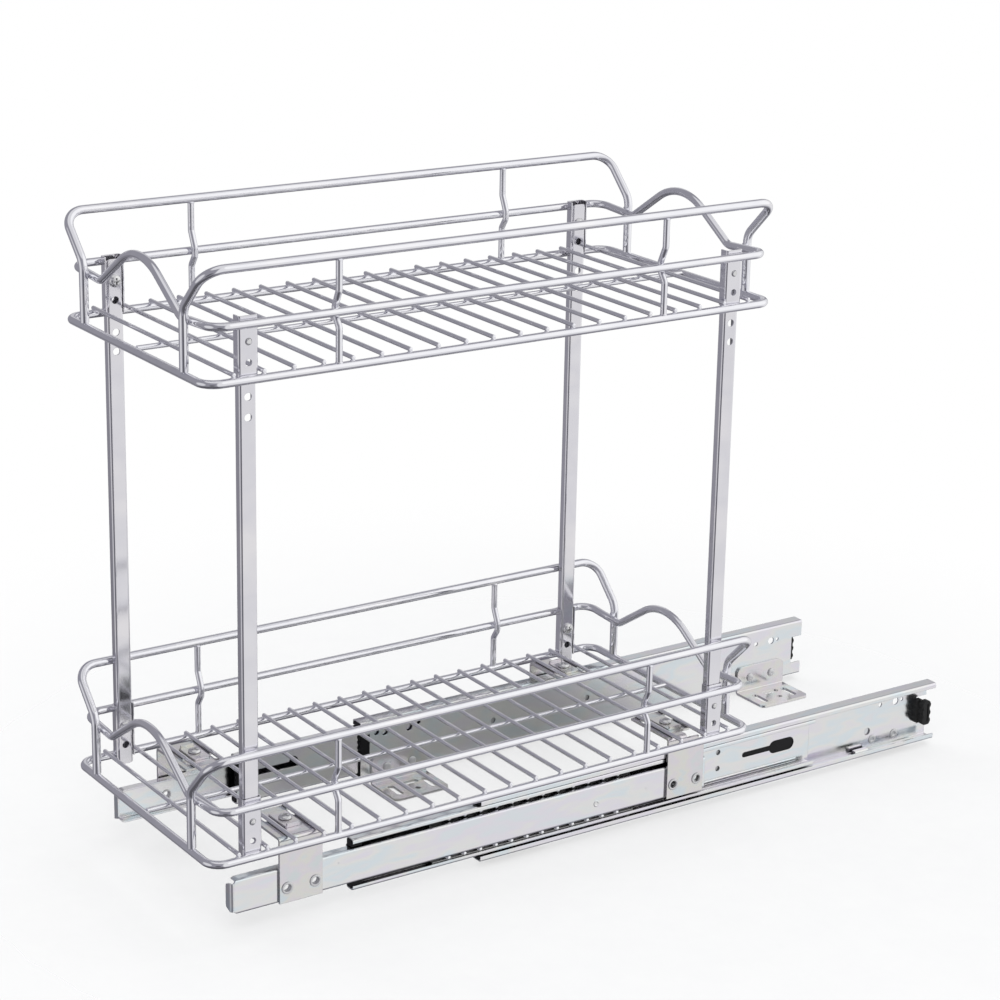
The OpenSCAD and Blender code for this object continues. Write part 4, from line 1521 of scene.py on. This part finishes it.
    def clamps(self) -> None:
        """Builds the screws of the two wire clamps, each turned its own way."""
        x = S.slide_face - self.clamp_x
        z = Tier.LOWER.value + S.cross_z - S.cross_d / 2 + self.clamp_top
        places = [Placing(self.spot(x, S.wire_y(i), z), (0, 0, 0.5 * i)) for i in self.clamps_at]
        name = f"clamp_screws_{self.word}"
        shape = self.clamp_screw.mesh("clamp_screw")
        piece = self.scatter(name + "_detailed", shape, places, SCREW)
        self.keep(piece, "carriage", "screw_steel", [name])

    def build(self) -> None:
        """Builds the slide and finishes its solids."""
        for cage in self.cages:
            self.cage(cage)
        self.carrier_eyelets()
        self.plate_rivets()
        self.pressings()
        self.catch()
        self.end_tab()
        self.dimples()
        self.clamps()
        plates = ("floor_plate", "carrier_plate", "wire_clamp")
        dress([f"{part}_member_{self.word}" for part in ("outer", "middle", "inner")], ZINC)
        dress([f"{part}_{end}_{self.word}" for part in plates for end in ("front", "rear")], ZINC_PLATE)
        dress([f"rear_bumper_{self.word}"], RUBBER)
        dress([f"{part}_front_stop_{self.word}" for part in ("outer", "middle")], PLASTIC)


# ---------------------------------------------------------------- studio


@dataclass(frozen=True)
class Card:
    """A round patch of the surroundings that metal mirrors: a lit card, or a dark flag.

    Attributes:
        toward: Direction of its middle, as azimuth from +X towards +Y and elevation, in degrees.
        inner: Angle in degrees from the middle within which it is full.
        outer: Angle beyond which it is gone.
        strength: What it gives where it is full.
    """

    toward: Pair
    inner: float
    outer: float
    strength: float

    def share(
        self, tree: bpy.types.NodeTree, away: bpy.types.NodeSocket, gone: float, full: float
    ) -> bpy.types.Node:
        """Adds the nodes that draw the patch.

        Args:
            tree: The world's tree.
            away: The direction.
            gone: Value outside.
            full: Value inside.

        Returns:
            The node that gives the value.
        """
        azimuth, height = (math.radians(a) for a in self.toward)
        level = math.cos(height)
        middle = (math.cos(azimuth) * level, math.sin(azimuth) * level, math.sin(height))
        near = add_node(tree, "ShaderNodeVectorMath", {0: away, 1: middle}, operation="DOT_PRODUCT")
        return add_node(tree, "ShaderNodeMapRange", {
            "Value": near.outputs["Value"],
            "From Min": math.cos(math.radians(self.outer)),
            "From Max": math.cos(math.radians(self.inner)),
            "To Min": gone,
            "To Max": full,
        }, interpolation_type="SMOOTHSTEP")


@dataclass
class Studio:
    """Camera, floor, lamps and surroundings.

    Attributes:
        place: The camera's place in metres.
        azimuth: Degrees from -Y towards +X.
        elevation: Degrees above the horizon.
        roll: Degrees.
        lens: Focal length in mm on a 36 mm sensor.
        shift: Lens shift as a share of the picture.
        aim: The point that the lamps face, in metres.
        floor_r: Radius of the floor in metres.
        floor_z: Its height in metres, just under the part.
        fade: Distances from the part's middle between which the floor fades out, in metres.
        shadow: How much of the floor, and so of the shadow on it, the picture shows.
        mat: Colour of the painted shadow on the floor under the baskets as metal mirrors it, as sRGB hex.
        mat_x: Distances from the painted shadow's middle along X between which it fades out, in metres.
        mat_y: The same along Y.
        mat_back: How far the painted shadow's middle lies behind the baskets' middle, in metres.
        grey: Light of the surroundings where there is no card.
        cards: Lit cards: a wall behind and to the right with a brighter upper half, one overhead,
            one in front and a small one on the left.
        flags: Dark flags: on the left, at the camera and underneath.
    """

    place: Point = (1.62782, -1.138395, 0.89126)
    azimuth: float = 55.19
    elevation: float = 17.14
    roll: float = 1.37
    lens: float = 96.32
    shift: Pair = (-0.0325, -0.036)
    aim: Point = (0.0, -0.05, 0.25)
    floor_r: float = 3.0
    floor_z: float = -0.0006
    fade: Pair = (0.3, 0.8)
    shadow: float = 0.35
    mat: str = "aeaeac"
    mat_x: Pair = (0.05, 0.1)
    mat_y: Pair = (0.14, 0.27)
    mat_back: float = 0.1
    grey: float = 0.3
    cards: tuple[Card, ...] = (
        Card((56.5, 0.0), 60.0, 77.0, 0.8),
        Card((56.5, 20.0), 31.0, 49.0, 1.0),
        Card((20.0, 78.0), 28.0, 44.0, 0.74),
        Card((-96.0, 0.0), 22.0, 37.0, 0.7),
        Card((150.0, 20.0), 11.0, 23.0, 0.58),
    )
    flags: tuple[Card, ...] = (
        Card((200.9, -30.7), 8.0, 18.0, 0.72),
        Card((-34.8, -17.0), 9.0, 19.0, 0.35),
        Card((0.0, -90.0), 36.0, 60.0, 0.34),
    )

    def camera(self) -> None:
        """Sets the camera at the photograph's viewing angle."""
        az, el, ro = (math.radians(a) for a in (self.azimuth, self.elevation, self.roll))
        back = Vector((math.sin(az) * math.cos(el), -math.cos(az) * math.cos(el), math.sin(el)))
        right = (-back).cross(Vector((0, 0, 1))).normalized()
        up = right.cross(-back)
        x = right * math.cos(ro) + up * math.sin(ro)
        y = up * math.cos(ro) - right * math.sin(ro)
        data = bpy.data.cameras.new("camera")
        data.sensor_width = 36
        data.lens = self.lens
        data.shift_x, data.shift_y = self.shift
        data.clip_start, data.clip_end = 0.05, 50
        camera = add_object("camera", data)
        turn = Matrix((x, y, back)).transposed().to_4x4()
        camera.matrix_world = Matrix.Translation(self.place) @ turn
        bpy.context.scene.camera = camera

    def lamp(self, name: str, place: Point, size: Pair, power: float) -> None:
        """Adds a soft box that faces the part. Metal mirrors the cards instead of it.

        Args:
            name: Name of the lamp.
            place: Its place in metres.
            size: Its width and height in metres.
            power: Its power in watts.
        """
        data = bpy.data.lights.new(name, "AREA")
        data.shape = "RECTANGLE"
        data.size, data.size_y = size
        data.energy = power
        lamp = add_object(name, data)
        lamp.location = place
        lamp.visible_glossy = False
        aim = Vector(self.aim) - Vector(place)
        lamp.rotation_euler = aim.to_track_quat("-Z", "Y").to_euler()

    def floor(self) -> None:
        """Lays the pale floor, which fades into the white surroundings and lets metal show them."""
        bm = bmesh.new()
        bmesh.ops.create_circle(bm, cap_ends=True, segments=96, radius=self.floor_r)
        mesh = bpy.data.meshes.new("floor")
        bm.to_mesh(mesh)
        bm.free()
        made = bpy.data.materials.new("white_studio_floor")
        tree = empty_tree(made)
        place = add_node(tree, "ShaderNodeTexCoord").outputs["Object"]
        far = add_node(tree, "ShaderNodeVectorMath", {0: place}, operation="LENGTH").outputs["Value"]
        fade = add_node(tree, "ShaderNodeMapRange", {
            "Value": far, "From Min": self.fade[0], "From Max": self.fade[1], "To Min": 1.0, "To Max": 0.0,
        }, interpolation_type="SMOOTHSTEP")
        path = add_node(tree, "ShaderNodeLightPath").outputs
        glossy = path["Is Glossy Ray"]
        seen = add_node(tree, "ShaderNodeMapRange", {
            "Value": path["Is Camera Ray"], "To Min": 1.0, "To Max": self.shadow,
        })
        # Glossy rays see the floor only under the baskets, where its grey is a painted shadow
        kept = add_node(tree, "ShaderNodeMix", {0: glossy, 2: seen, 3: self.under(tree, place)})
        weight = add_node(tree, "ShaderNodeMath", {0: kept, 1: fade}, operation="MULTIPLY")
        # Painted board with faint clouds of 40 mm
        paper = mottle(tree, (40, 40, 40), 3.0)
        stops = list(zip(GRAIN_SPAN, ("f4f4f5", "f8f8f8")))
        white = add_node(tree, "ShaderNodeValToRGB", {"Fac": paper}, stops)
        # For glossy rays the board takes the painted shadow's grey
        colour = add_node(tree, "ShaderNodeMix", {
            0: glossy, 6: white, 7: linear(self.mat),
        }, data_type="RGBA")
        board = add_node(tree, "ShaderNodeBsdfDiffuse", {"Color": colour.outputs[2]})
        clear = add_node(tree, "ShaderNodeBsdfTransparent")
        mixed = add_node(tree, "ShaderNodeMixShader", {0: weight, 1: clear, 2: board})
        add_node(tree, "ShaderNodeOutputMaterial", {"Surface": mixed})
        mesh.materials.append(made)
        floor = add_object("floor", mesh)
        floor.location = (0, 0, self.floor_z)

    def under(self, tree: bpy.types.NodeTree, place: bpy.types.NodeSocket) -> bpy.types.Node:
        """Marks the floor under the baskets, where metal mirrors a grey painted shadow.

        Args:
            tree: The floor's tree.
            place: The floor's own coordinates.

        Returns:
            The node that gives 1 under the baskets and 0 away from them.
        """
        parts = add_node(tree, "ShaderNodeSeparateXYZ", {"Vector": place}).outputs
        middle = (S.front + S.length / 2) * MM + self.mat_back
        shares = []
        for axis, centre, (inner, outer) in (("X", 0.0, self.mat_x), ("Y", middle, self.mat_y)):
            off = add_node(tree, "ShaderNodeMath", {0: parts[axis], 1: centre}, operation="SUBTRACT")
            away = add_node(tree, "ShaderNodeMath", {0: off}, operation="ABSOLUTE")
            shares.append(add_node(tree, "ShaderNodeMapRange", {
                "Value": away, "From Min": inner, "From Max": outer, "To Min": 1.0, "To Max": 0.0,
            }, interpolation_type="SMOOTHSTEP"))
        return add_node(tree, "ShaderNodeMath", {0: shares[0], 1: shares[1]}, operation="MULTIPLY")

    def surroundings(self) -> None:
        """Makes white surroundings, with the cards and flags that draw lines in the chrome."""
        world = bpy.data.worlds.new("studio")
        bpy.context.scene.world = world
        tree = empty_tree(world)
        away = add_node(tree, "ShaderNodeTexCoord").outputs["Generated"]
        light = self.grey
        for card in self.cards:
            glow = card.share(tree, away, 0.0, card.strength)
            light = add_node(tree, "ShaderNodeMath", {0: light, 1: glow}, operation="MAXIMUM")
        for flag in self.flags:
            dim = flag.share(tree, away, 1.0, flag.strength)
            light = add_node(tree, "ShaderNodeMath", {0: light, 1: dim}, operation="MULTIPLY")
        stops = [(0.0, "000000"), (self.grey, "94939b"), (1.0, "ffffff")]
        walls = add_node(tree, "ShaderNodeValToRGB", {"Fac": light}, stops)
        white = add_node(tree, "ShaderNodeBackground", {"Color": linear("ffffff"), "Strength": 1.0})
        mirrored = add_node(tree, "ShaderNodeBackground", {"Color": walls, "Strength": 1.0})
        soft = add_node(tree, "ShaderNodeBackground", {"Color": linear("f4f6fa"), "Strength": 0.45})
        path = add_node(tree, "ShaderNodeLightPath").outputs
        shown = soft
        for ray, sky in (("Glossy", mirrored), ("Camera", white), ("Transmission", white)):
            shown = add_node(tree, "ShaderNodeMixShader", {0: path[f"Is {ray} Ray"], 1: shown, 2: sky})
        add_node(tree, "ShaderNodeOutputWorld", {"Surface": shown})

    def build(self) -> None:
        """Builds the studio."""
        bpy.context.scene.view_settings.view_transform = "Standard"
        self.camera()
        self.floor()
        self.surroundings()
        self.lamp("key", (1.6, -1.2, 2.2), (1.6, 1.6), 30)
        self.lamp("fill", (-1.9, -1.0, 1.4), (1.5, 1.5), 14)
        self.lamp("top", (0.0, 0.6, 2.4), (2.0, 1.2), 18)


def main() -> None:
    """Dresses the part and builds the studio."""
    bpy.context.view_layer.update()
    for tier in Tier:
        Basket(tier=tier).build()
    Posts().build()
    for side in Side:
        Slide(side=side).build()
    Studio().build()


if __name__ == "__main__":
    main()
